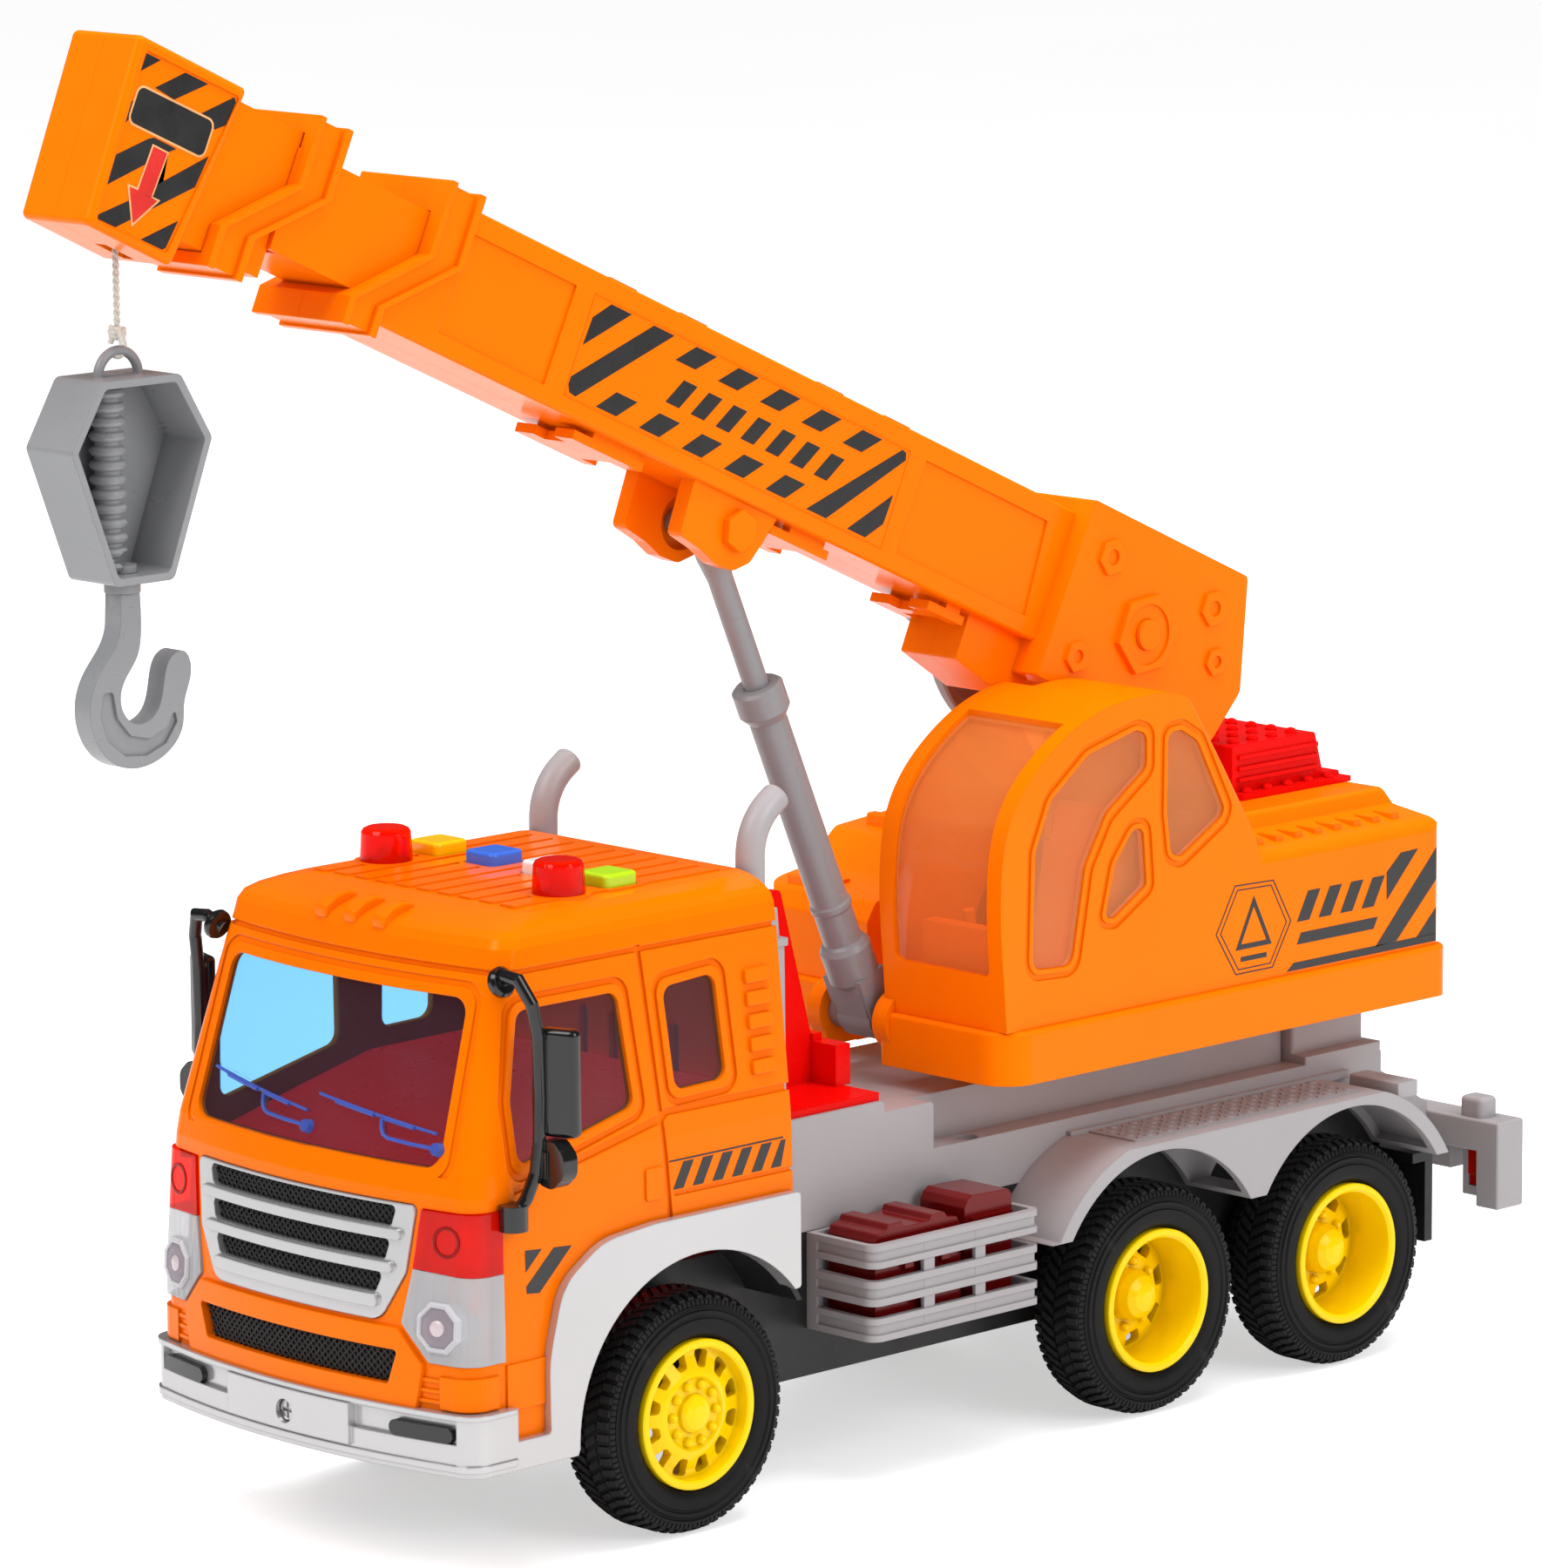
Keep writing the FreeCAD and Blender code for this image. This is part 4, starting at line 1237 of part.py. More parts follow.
outline = hook_points(HOOK_OUTLINE)
hook = smooth_x(outline[1:], -HOOK_HALF, HOOK_HALF, outline[:1])
hook = hook.cut(both(prism_x(hook_points(POCKET), 1.9, 4.0, 0.9)))
hook = hook.fuse([cylz(SHANK_R, HOOK_TOP - 1.0, BLOCK_TOP - 42.2, 0, HOOK_Y),
                  cylz(3.2, BLOCK_TOP - 42.9, BLOCK_TOP - 41.2, 0, HOOK_Y),
                  cylz(2.9, HOOK_TOP - 3.0, HOOK_TOP, 0, HOOK_Y)])
put("hook", largest(hook))
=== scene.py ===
# Toy crane truck: cab in front, slewing upper body behind it, and a raised boom that reaches
# forwards over the cab with a string hanging from its head.
# Working frame: millimetres, +X to the truck's left, +Y to its rear, +Z up, with the front
# axle at y = 0 and the floor at z = 0. The scene is in metres, centred on the footprint.
import bpy
import bmesh
import json
import math
import random
from mathutils import Vector, Matrix


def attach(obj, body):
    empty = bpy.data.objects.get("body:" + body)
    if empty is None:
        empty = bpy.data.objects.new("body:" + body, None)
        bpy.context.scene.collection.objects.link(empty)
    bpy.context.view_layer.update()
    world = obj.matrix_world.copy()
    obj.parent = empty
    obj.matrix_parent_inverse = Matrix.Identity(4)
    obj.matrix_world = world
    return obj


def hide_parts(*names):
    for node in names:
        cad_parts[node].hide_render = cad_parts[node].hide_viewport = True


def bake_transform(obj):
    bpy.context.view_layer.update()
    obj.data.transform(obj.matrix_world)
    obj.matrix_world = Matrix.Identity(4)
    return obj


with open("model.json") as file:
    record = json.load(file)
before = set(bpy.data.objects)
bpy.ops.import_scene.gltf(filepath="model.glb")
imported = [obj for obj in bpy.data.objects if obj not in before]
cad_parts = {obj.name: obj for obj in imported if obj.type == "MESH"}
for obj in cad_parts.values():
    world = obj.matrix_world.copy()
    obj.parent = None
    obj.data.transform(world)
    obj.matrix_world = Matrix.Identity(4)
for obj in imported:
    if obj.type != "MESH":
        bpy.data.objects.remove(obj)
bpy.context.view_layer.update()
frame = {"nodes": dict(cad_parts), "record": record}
random.seed(7)  # fixed, so that every run starts from the same state

MM = 0.001
FOOTPRINT_MID_Y = 78.65
BOOM_PIVOT_Y, BOOM_PIVOT_Z = 183.5, 181.6
BOOM_ANGLE = math.radians(24.5)
BOOM_COS, BOOM_SIN = math.cos(BOOM_ANGLE), math.sin(BOOM_ANGLE)
SIDES = (("left", 1), ("right", -1))


def place(x, y, z):
    """Working-frame millimetres to scene metres."""
    return Vector((x * MM, (y - FOOTPRINT_MID_Y) * MM, z * MM))


def boom_to_yz(along, above):
    """Boom coordinates, from the pivot along the boom and square to it, to y and z."""
    return (BOOM_PIVOT_Y - along * BOOM_COS + above * BOOM_SIN,
            BOOM_PIVOT_Z + along * BOOM_SIN + above * BOOM_COS)


def on_boom(x, along, above):
    return place(x, *boom_to_yz(along, above))


# ------------------------------------------------------------------ shader node helpers
def set_inputs(tree, node, inputs):
    """Fills inputs by name or index; a value that is itself a socket is linked."""
    for key, value in dict(inputs).items():
        if isinstance(value, bpy.types.NodeSocket):
            tree.links.new(value, node.inputs[key])
        else:
            node.inputs[key].default_value = value


def add_node(tree, kind, inputs=(), **settings):
    node = tree.nodes.new("ShaderNode" + kind)
    for key, value in settings.items():
        setattr(node, key, value)
    set_inputs(tree, node, inputs)
    return node


def new_material(name):
    """Material with a Principled shader; also gives its tree and object coordinates."""
    material = bpy.data.materials.new(name)
    material.use_nodes = True
    tree = material.node_tree
    tree.nodes.clear()
    output = add_node(tree, "OutputMaterial")
    shader = add_node(tree, "BsdfPrincipled")
    set_inputs(tree, output, {"Surface": shader.outputs["BSDF"]})
    coords = add_node(tree, "TexCoord").outputs["Object"]
    return material, tree, shader, coords


def noise(tree, coords, scale, detail, rough, distortion=0.0):
    return add_node(tree, "TexNoise", {
        "Scale": scale, "Detail": detail, "Roughness": rough, "Distortion": distortion,
        "Vector": coords}).outputs[0]


def remap(tree, value, source, target=(0.0, 1.0)):
    """Maps the source range of a value onto the target range."""
    return add_node(tree, "MapRange", {
        "From Min": source[0], "From Max": source[1],
        "To Min": target[0], "To Max": target[1], "Value": value}).outputs[0]


def mix_colours(tree, factor, first, second):
    """Colour mix; each side is an RGB triple or a socket."""
    mix = add_node(tree, "Mix", {0: factor}, data_type="RGBA")
    for index, colour in ((6, first), (7, second)):
        linked = isinstance(colour, bpy.types.NodeSocket)
        mix.inputs[index].default_value = (0, 0, 0, 1) if linked else (*colour, 1)
        if linked:
            set_inputs(tree, mix, {index: colour})
    return mix.outputs[2]


def math_node(tree, operation, *values):
    return add_node(tree, "Math", enumerate(values), operation=operation).outputs[0]


def mix_shaders(tree, factor, first, second):
    return add_node(tree, "MixShader", {0: factor, 1: first, 2: second}).outputs[0]


def bump(tree, height, strength, distance, bevel=None):
    """Bump normal; a bevel radius rounds the look of sharp edges. Lengths in metres."""
    node = add_node(tree, "Bump", {
        "Strength": strength, "Distance": distance, "Height": height})
    if bevel:
        rounded = add_node(tree, "Bevel", {"Radius": bevel}, samples=4)
        set_inputs(tree, node, {"Normal": rounded.outputs["Normal"]})
    return node.outputs["Normal"]


def scaled(colour, factor, lift=0.0):
    return tuple(min(1, c * factor + lift) for c in colour)


# ------------------------------------------------------------------ material recipes
def plastic(name, colour, rough, drift, specular, grain, grain_scale=2600.0, coat=0.0,
            bevel=0.00035, subsurface=0.0, dust=0.05, scuff=0.12, painted_crease_shade=0.82,
            tint=None, painted_glow=None):
    """Moulded plastic: slight colour drift, fine grain, soft scuffs and dust, plus painted shade
    in tight corners.

    drift, scuff  share by which the colour and the roughness wander
    painted_crease_shade  brightness left in tight corners, where painted shade darkens the
    colour tint, painted_glow  colour of the reflections, and painted light: a faint glow though
    the part is no lamp
    """
    material, tree, shader, coords = new_material(name)
    patches = noise(tree, coords, scale=22.0, detail=3.0, rough=0.5)
    specks = noise(tree, coords, scale=420.0, detail=5.0, rough=0.65, distortion=0.6)
    low = scaled(colour, 1 - drift)
    base = mix_colours(tree, remap(tree, patches, (0.3, 0.7)), low, scaled(colour, 1 + drift))
    # painted shade: ambient occlusion darkens the colour in tight corners and creases
    openness = add_node(tree, "AmbientOcclusion", {"Distance": 0.004}, samples=4).outputs["AO"]
    open_share = remap(tree, openness, (0.25, 0.8))
    crease_shaded = mix_colours(tree, open_share, scaled(low, painted_crease_shade), base)
    dust_share = remap(tree, specks, (0.64, 0.80), (0.0, dust))
    dusty = mix_colours(tree, dust_share, crease_shaded, (0.75, 0.72, 0.68))
    scuffs = noise(tree, coords, scale=90.0, detail=6.0, rough=0.7, distortion=1.2)
    fine = noise(tree, coords, scale=grain_scale, detail=2.0, rough=0.6)
    waves = noise(tree, coords, scale=60.0, detail=2.0, rough=0.5)
    height = math_node(tree, "MULTIPLY_ADD", waves, 1.6, fine)
    set_inputs(tree, shader, {
        "Base Color": dusty,
        "Roughness": remap(tree, scuffs, (0.35, 0.75),
                           (rough * (1 - scuff), rough * (1 + scuff * 2.2))),
        "Specular IOR Level": specular,
        "Coat Weight": coat,
        "Coat Roughness": 0.08,
        "Normal": bump(tree, height, strength=grain * 4, distance=0.00004, bevel=bevel),
    })
    if tint:
        set_inputs(tree, shader, {"Specular Tint": (*tint, 1),
                                  "Coat Tint": (*[0.5 + 0.5 * c for c in tint], 1)})
    # painted light: emission brightens a part that is no lamp
    if painted_glow:
        set_inputs(tree, shader, {"Emission Color": (*painted_glow, 1), "Emission Strength": 1.0})
    if subsurface:
        set_inputs(tree, shader, {"Subsurface Weight": subsurface,
                                  "Subsurface Radius": (0.004, 0.002, 0.001),
                                  "Subsurface Scale": 0.5})
    return material


def lens(name, tint, haze, body, rough, flute_scale=None):
    """Thin clear moulding: tinted see-through skins, a glossy front and some body colour.

    haze         share of the body colour over the see-through part
    flute_scale  scale of the moulded flutes across X; plain surface if not given
    """
    index = 1.5
    material, tree, shader, coords = new_material(name)
    patches = noise(tree, coords, scale=30.0, detail=3.0, rough=0.5)
    base = mix_colours(tree, remap(tree, patches, (0.3, 0.7)),
                       scaled(body, 0.92), scaled(body, 1.05))
    smears = noise(tree, coords, scale=120.0, detail=5.0, rough=0.7)
    roughness = remap(tree, smears, (0.3, 0.8), (rough * 0.8, rough * 1.5))
    if flute_scale:
        flutes = add_node(tree, "TexWave", {"Scale": flute_scale, "Vector": coords},
                          bands_direction="X").outputs["Fac"]
        normal = bump(tree, flutes, strength=0.5, distance=0.0004, bevel=0.0003)
    else:
        waves = noise(tree, coords, scale=70.0, detail=2.0, rough=0.5)
        normal = bump(tree, waves, strength=0.12, distance=0.0001, bevel=0.0003)
    set_inputs(tree, shader, {
        "Base Color": base, "Roughness": roughness, "IOR": index,
        "Specular IOR Level": 0.15, "Normal": normal})
    clear = add_node(tree, "BsdfTransparent", {"Color": (*tint, 1)}).outputs[0]
    gloss = add_node(tree, "BsdfGlossy", {
        "Color": (0.6, 0.6, 0.6, 1), "Roughness": roughness, "Normal": normal}).outputs[0]
    fresnel = add_node(tree, "Fresnel", {"IOR": index, "Normal": normal}).outputs[0]
    # only the skin facing the viewer reflects
    backfacing = add_node(tree, "NewGeometry").outputs["Backfacing"]
    facing = math_node(tree, "SUBTRACT", 1.0, backfacing)
    reflection = math_node(tree, "MULTIPLY", fresnel, facing)
    skin = mix_shaders(tree, reflection, clear, gloss)
    surface = mix_shaders(tree, haze, skin, shader.outputs["BSDF"])
    set_inputs(tree, tree.nodes["Material Output"], {"Surface": surface})
    return material


def metal(name, colour, rough, metallic=1.0, coat=0.0, bevel=0.0003):
    material, tree, shader, coords = new_material(name)
    patches = noise(tree, coords, scale=25.0, detail=3.0, rough=0.5)
    smears = noise(tree, coords, scale=220.0, detail=6.0, rough=0.7, distortion=0.4)
    grain = noise(tree, coords, scale=1500.0, detail=2.0, rough=0.6)
    set_inputs(tree, shader, {
        "Base Color": mix_colours(tree, remap(tree, patches, (0.3, 0.75)),
                                  scaled(colour, 0.97), scaled(colour, 1.02)),
        "Metallic": metallic,
        "Roughness": remap(tree, smears, (0.3, 0.8), (rough * 0.92, rough * 1.12)),
        "Coat Weight": coat,
        "Coat Roughness": 0.12,
        "Normal": bump(tree, grain, strength=0.05, distance=0.00004, bevel=bevel),
    })
    return material


def rubber(name):
    """Near-black rubber with paler worn edges and a little dust."""
    material, tree, shader, coords = new_material(name)
    patches = noise(tree, coords, scale=55.0, detail=5.0, rough=0.6)
    specks = noise(tree, coords, scale=700.0, detail=4.0, rough=0.7)
    base = mix_colours(tree, remap(tree, patches, (0.35, 0.7)),
                       (0.005, 0.005, 0.0054), (0.009, 0.009, 0.0094))
    pointiness = add_node(tree, "NewGeometry").outputs["Pointiness"]
    edge_share = remap(tree, pointiness, (0.52, 0.60), (0.0, 0.35))
    worn = mix_colours(tree, edge_share, base, (0.030, 0.029, 0.028))
    dust_share = remap(tree, specks, (0.62, 0.82), (0.0, 0.06))
    set_inputs(tree, shader, {
        "Base Color": mix_colours(tree, dust_share, worn, (0.22, 0.21, 0.20)),
        "Roughness": remap(tree, patches, (0.3, 0.7), (0.40, 0.56)),
        "Specular IOR Level": 0.16,
        "Normal": bump(tree, specks, strength=0.3, distance=0.00005),
    })
    return material


def cotton(name):
    material, tree, shader, coords = new_material(name)
    fibres = noise(tree, coords, scale=3000.0, detail=5.0, rough=0.7)
    set_inputs(tree, shader, {
        "Base Color": mix_colours(tree, remap(tree, fibres, (0.3, 0.7)),
                                  (0.42, 0.39, 0.34), (0.80, 0.77, 0.71)),
        "Roughness": 0.85,
        "Sheen Weight": 0.5,
        "Normal": bump(tree, fibres, strength=0.5, distance=0.0001),
    })
    return material


def ink(name, colour, rough):
    material, tree, shader, coords = new_material(name)
    patches = noise(tree, coords, scale=160.0, detail=5.0, rough=0.6)
    set_inputs(tree, shader, {
        "Base Color": mix_colours(tree, remap(tree, patches, (0.3, 0.75)),
                                  scaled(colour, 0.85), scaled(colour, 1.15, lift=0.002)),
        "Roughness": remap(tree, patches, (0.3, 0.8), (rough * 0.8, rough * 1.4)),
        "Coat Weight": 0.2,
    })
    return material


# ------------------------------------------------------------------ materials by slot
MATERIALS = {
    "orange_paint": plastic(
        "cab_orange", (0.98, 0.170, 0.0), rough=0.15, drift=0.02, specular=0.26, grain=0.015,
        coat=0.05, dust=0.0, scuff=0.08, bevel=0.0005, tint=(1.0, 0.62, 0.12)),
    # painted light: a faint orange glow on the crane plastic
    "orange_plastic": plastic(
        "crane_orange", (0.98, 0.178, 0.0), rough=0.22, drift=0.025, specular=0.22, grain=0.04,
        dust=0.0, scuff=0.10, tint=(1.0, 0.62, 0.10), painted_glow=(0.05, 0.010, 0.0)),
    "silver": metal(
        "silver_trim", (0.56, 0.555, 0.56), rough=0.22, metallic=0.6, coat=0.4, bevel=0.0005),
    "black_plastic": plastic(
        "chassis_black", (0.012, 0.012, 0.013), rough=0.38, drift=0.15, specular=0.42,
        grain=0.08, grain_scale=1500.0, painted_crease_shade=0.6),
    "black_gloss": plastic(
        "gloss_black", (0.008, 0.008, 0.009), rough=0.14, drift=0.1, specular=0.5,
        grain=0.015, coat=0.3, dust=0.01),
    "black_mesh": plastic(
        "mesh_black", (0.010, 0.010, 0.010), rough=0.32, drift=0.1, specular=0.5, grain=0.04,
        dust=0.01),
    "grey_plastic": plastic(
        "grey_plastic", (0.275, 0.278, 0.290), rough=0.30, drift=0.05, specular=0.45,
        grain=0.05, dust=0.02, coat=0.05),
    "light_grey_plastic": plastic(
        "light_grey_plastic", (0.375, 0.355, 0.365), rough=0.34, drift=0.04, specular=0.42,
        grain=0.05, dust=0.02),
    "red_plastic": plastic(
        "bright_red", (0.76, 0.003, 0.002), rough=0.26, drift=0.04, specular=0.14,
        grain=0.025, dust=0.0, tint=(1.0, 0.28, 0.22)),
    "dark_red_plastic": plastic(
        "dark_red", (0.15, 0.003, 0.003), rough=0.14, drift=0.06, specular=0.40, grain=0.02,
        coat=0.14, dust=0.0, tint=(1.0, 0.45, 0.45)),
    "yellow_plastic": plastic(
        "rim_yellow", (0.97, 0.66, 0.0), rough=0.22, drift=0.03, specular=0.40, grain=0.02,
        coat=0.15, dust=0.0, tint=(1.0, 0.85, 0.35)),
    "blue_glazing": lens(
        "blue_glass", (0.66, 0.87, 0.965), haze=0.06, body=(0.30, 0.14, 0.20), rough=0.035),
    "clear_glazing": lens(
        "cabin_glass", (1.0, 0.90, 0.80), haze=0.20, body=(1.0, 0.44, 0.12), rough=0.035),
    "red_lens": lens(
        "red_lens", (0.98, 0.09, 0.01), haze=0.34, body=(0.98, 0.012, 0.0), rough=0.05),
    "clear_lens": lens(
        "headlamp_lens", (0.97, 0.97, 0.98), haze=0.62, body=(0.56, 0.57, 0.59), rough=0.05,
        flute_scale=130.0),
    "led_white": plastic(
        "lamp_bulb", (0.80, 0.78, 0.66), rough=0.15, drift=0.05, specular=0.5, grain=0.02,
        coat=0.5),
    "btn_yellow": plastic(
        "key_yellow", (1.0, 0.60, 0.0), rough=0.18, drift=0.03, specular=0.45, grain=0.02,
        coat=0.25, dust=0.0),
    "btn_blue": plastic(
        "key_blue", (0.05, 0.17, 0.78), rough=0.18, drift=0.04, specular=0.4, grain=0.02,
        coat=0.12, dust=0.0),
    "btn_white": plastic(
        "key_white", (0.86, 0.86, 0.85), rough=0.20, drift=0.03, specular=0.5, grain=0.02,
        coat=0.25, dust=0.0),
    "btn_green": plastic(
        "key_green", (0.46, 0.80, 0.01), rough=0.18, drift=0.04, specular=0.4, grain=0.02,
        coat=0.12, dust=0.0),
    "board_green": plastic(
        "board_green", (0.02, 0.14, 0.05), rough=0.35, drift=0.1, specular=0.5, grain=0.05),
    "cell_wrap": plastic(
        "cell_wrap", (0.03, 0.03, 0.16), rough=0.22, drift=0.05, specular=0.5, grain=0.02,
        coat=0.4),
    "steel": metal("steel", (0.56, 0.56, 0.57), rough=0.28),
    "gear_white": plastic(
        "nylon", (0.74, 0.72, 0.64), rough=0.4, drift=0.03, specular=0.5, grain=0.03,
        subsurface=0.08),
    "tyre_black": rubber("tyre_rubber"),
    "string_white": cotton("cotton_string"),
}

INK_BLACK = ink("ink_black", (0.010, 0.009, 0.009), rough=0.28)
ink("ink_orange", (0.98, 0.20, 0.0), rough=0.22)  # spare colour, on no piece yet
INK_RED = ink("ink_red", (0.70, 0.015, 0.008), rough=0.25)
INK_PALE = ink("ink_pale", (0.85, 0.42, 0.16), rough=0.3)
# painted light: the red tub glows so it looks lit through the cab windows
TUB_RED = plastic(
    "tub_red", (0.80, 0.010, 0.006), rough=0.30, drift=0.04, specular=0.40, grain=0.02,
    dust=0.0, painted_glow=(0.34, 0.006, 0.006))
WIPER_BLUE = lens(
    "wiper_blue", (0.30, 0.42, 0.90), haze=0.5, body=(0.10, 0.17, 0.62), rough=0.05)
BEZEL = lens("lamp_bezel", (0.97, 0.96, 0.97), haze=0.62, body=(0.74, 0.73, 0.76), rough=0.03)
LAMP_FACE = lens(
    "lamp_face", (0.90, 0.84, 0.90), haze=0.60, body=(0.40, 0.34, 0.38), rough=0.04)
LAMP_CORE = plastic(
    "lamp_core", (0.62, 0.52, 0.54), rough=0.18, drift=0.05, specular=0.5, grain=0.02,
    coat=0.5, dust=0.0)
MARKER_RING = lens(
    "marker_ring", (0.80, 0.05, 0.01), haze=0.6, body=(0.34, 0.002, 0.0), rough=0.05)

for subpart in frame["record"]["subparts"]:
    piece = frame["nodes"][subpart["node"]]
    piece_material = MATERIALS[subpart["material_slot"]]
    if subpart["node"] == "cab_interior":
        piece_material = TUB_RED
    if not piece.material_slots:
        piece.data.materials.append(piece_material)
    for material_slot in piece.material_slots:
        material_slot.material = piece_material


# ------------------------------------------------------------------ mesh helpers
def new_object(name, bm, material, body=None, smooth_angle=None):
    """Turns the bmesh into an object; flat-shaded without a smooth angle (degrees)."""
    mesh = bpy.data.meshes.new(name)
    bmesh.ops.remove_doubles(bm, verts=bm.verts, dist=1e-7)
    bmesh.ops.recalc_face_normals(bm, faces=bm.faces)
    bm.to_mesh(mesh)
    bm.free()
    if smooth_angle:
        mesh.shade_smooth()
        mesh.set_sharp_from_angle(angle=math.radians(smooth_angle))
    obj = bpy.data.objects.new(name, mesh)
    bpy.context.scene.collection.objects.link(obj)
    mesh.materials.append(material)
    if body:
        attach(obj, body)
    return obj


def bridge(bm, first, second):
    """Quads between two closed rings of vertices."""
    count = len(first)
    for i in range(count):
        j = (i + 1) % count
        bm.faces.new((first[i], first[j], second[j], second[i]))


def loft(bm, rings):
    """Skins a list of point rings and caps both ends; gives the two caps."""
    loops = [[bm.verts.new(point) for point in ring] for ring in rings]
    for first, second in zip(loops[:-1], loops[1:]):
        bridge(bm, first, second)
    return [bm.faces.new(list(reversed(loops[0]))), bm.faces.new(loops[-1])]


def slab(bm, outline, locate, bottom, top):
    """Thin closed prism; locate(a, b, depth) gives the scene point."""
    caps = loft(bm, [[locate(a, b, depth) for a, b in outline] for depth in (bottom, top)])
    bmesh.ops.triangulate(bm, faces=caps)


def tube(bm, path, radius, segments=8):
    """Round bar along scene points; the radius in mm is one value or one per point."""
    rings = []
    across = None
    for i, point in enumerate(path):
        along = (path[min(i + 1, len(path) - 1)] - path[max(i - 1, 0)]).normalized()
        if across is None:
            across = along.cross(Vector((0.3, 0.5, 0.8)).normalized()).normalized()
        else:
            across = (across - along * across.dot(along)).normalized()
        other = along.cross(across)
        here = (radius[i] if isinstance(radius, list) else radius) * MM
        rings.append([])
        for k in range(segments):
            angle = 2 * math.pi * k / segments
            rings[-1].append(point + (across * math.cos(angle) + other * math.sin(angle)) * here)
    loft(bm, rings)


# ------------------------------------------------------------------ tyres with cut tread
TYRE_R = 28.0
TYRE_SEGMENTS = 144
TREAD_STEPS = 60
# carcass outline: x, radius
CARCASS = [
    (37.6, 16.1), (37.05, 18.5), (37.0, 21.0), (37.0, 23.4), (37.3, 25.3), (38.2, 26.5),
    (39.6, 27.1), (41.5, 27.25), (45.0, 27.3), (48.5, 27.25), (50.3, 27.1), (51.5, 26.5),
    (52.1, 25.9), (52.3, 25.25), (52.75, 25.15), (52.95, 24.7), (52.6, 24.3), (52.6, 24.0),
    (52.98, 23.7), (53.0, 22.9), (52.7, 22.5), (52.7, 22.2), (53.0, 21.9), (53.0, 19.9),
    (52.85, 18.8), (52.4, 18.1), (51.7, 17.55), (51.2, 17.4), (51.2, 16.1),
]
# blocks in one step: x0, x1, start and end (shares of a step), base radius, top radius,
# skew (radians per mm of x), drop of the x1 edge
TREAD_BLOCKS = [
    # two centre rows
    (41.2, 44.7, 0.0, 0.62, 27.0, TYRE_R, 0.022, 0.0),
    (45.3, 48.8, 0.5, 1.12, 27.0, TYRE_R, -0.022, 0.0),
    # outer and inner shoulder
    (49.2, 51.9, 0.0, 0.60, 26.2, TYRE_R - 0.02, 0.0, 0.9),
    (40.8, 38.1, 0.3, 0.90, 26.2, TYRE_R - 0.02, 0.0, 0.9),
    # fine ribs on the outer shoulder
    (51.9, 52.55, 0.05, 0.42, 25.2, 26.5, 0.0, 0.55),
    (51.9, 52.55, 0.55, 0.92, 25.2, 26.5, 0.0, 0.55),
]
AXLES = (("front", 0.0), ("mid", 151.7), ("rear", 219.3))
BLOCK_TOP_INSET = 0.12   # narrowing of a block's top in x
BLOCK_TOP_MARGIN = 0.04  # share of the length lost at each end of the top


def tread_block(bm, locate, start, step, block):
    """One raised block, three stations long; locate(x, radius, angle) gives the point."""
    x0, x1, start_share, end_share, base_r, top_r, skew, drop = block
    first = start + step * start_share
    last = start + step * end_share
    rows = []
    for radius, inset, margin in ((base_r, 0.0, 0.0),
                                  (top_r, BLOCK_TOP_INSET, BLOCK_TOP_MARGIN)):
        for x, lowered in ((x0 + inset, 0.0), (x1 - inset, drop)):
            row = []
            for k in range(3):
                share = k / 2 * (1 - 2 * margin) + margin
                angle = first + (last - first) * share + skew * (x - (x0 + x1) / 2)
                row.append(bm.verts.new(locate(x, radius - lowered, angle)))
            rows.append(row)
    base0, base1, top0, top1 = rows
    for k in range(2):
        bm.faces.new((top0[k], top0[k + 1], top1[k + 1], top1[k]))
        bm.faces.new((base0[k + 1], base0[k], base1[k], base1[k + 1]))
        bm.faces.new((base0[k], base0[k + 1], top0[k + 1], top0[k]))
        bm.faces.new((base1[k + 1], base1[k], top1[k], top1[k + 1]))
    bm.faces.new((base0[0], top0[0], top1[0], base1[0]))
    bm.faces.new((base0[2], base1[2], top1[2], top0[2]))


def tyre_pair(name, axle_y):
    """Left and right tyre of one axle, as one object."""
    bm = bmesh.new()

    def locator(side):
        return lambda x, radius, angle: place(
            side * x, axle_y + radius * math.cos(angle), TYRE_R + radius * math.sin(angle))

    for _, side in SIDES:
        locate = locator(side)
        rings = []
        for k in range(TYRE_SEGMENTS):
            angle = 2 * math.pi * k / TYRE_SEGMENTS
            rings.append([bm.verts.new(locate(x, radius, angle)) for x, radius in CARCASS])
        for k in range(TYRE_SEGMENTS):
            bridge(bm, rings[k], rings[(k + 1) % TYRE_SEGMENTS])
    step = 2 * math.pi / TREAD_STEPS
    for _, side in SIDES:
        for k in range(TREAD_STEPS):
            for block in TREAD_BLOCKS:
                tread_block(bm, locator(side), 2 * math.pi * k / TREAD_STEPS, step, block)
    tyres = new_object("tyre_tread_" + name, bm, MATERIALS["tyre_black"], name + "_wheels",
                       smooth_angle=32)
    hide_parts(name + "_tyres")


for axle_name, axle_position in AXLES:
    tyre_pair(axle_name, axle_position)

# ------------------------------------------------------------------ string and knot
STRING_Y, HEAD_Z = boom_to_yz(323.8, -19.6)
STRING_TOP = HEAD_Z + 12.0
KNOT_Z = HEAD_Z - 18.4


def twisted_cord(bm):
    """Two plies wound about the straight drop from the head to the knot."""
    steps = 90
    drop = STRING_TOP - (KNOT_Z + 0.5)
    middle = [place(0.0, STRING_Y, STRING_TOP - drop * i / steps) for i in range(steps + 1)]
    offset = 0.00036  # metres from the middle line to each ply
    for phase in (0.0, math.pi):
        strand = []
        for i, point in enumerate(middle):
            turn = phase + i * 0.62
            strand.append(point + Vector((offset * math.cos(turn), offset * math.sin(turn), 0)))
        tube(bm, strand, 0.42)


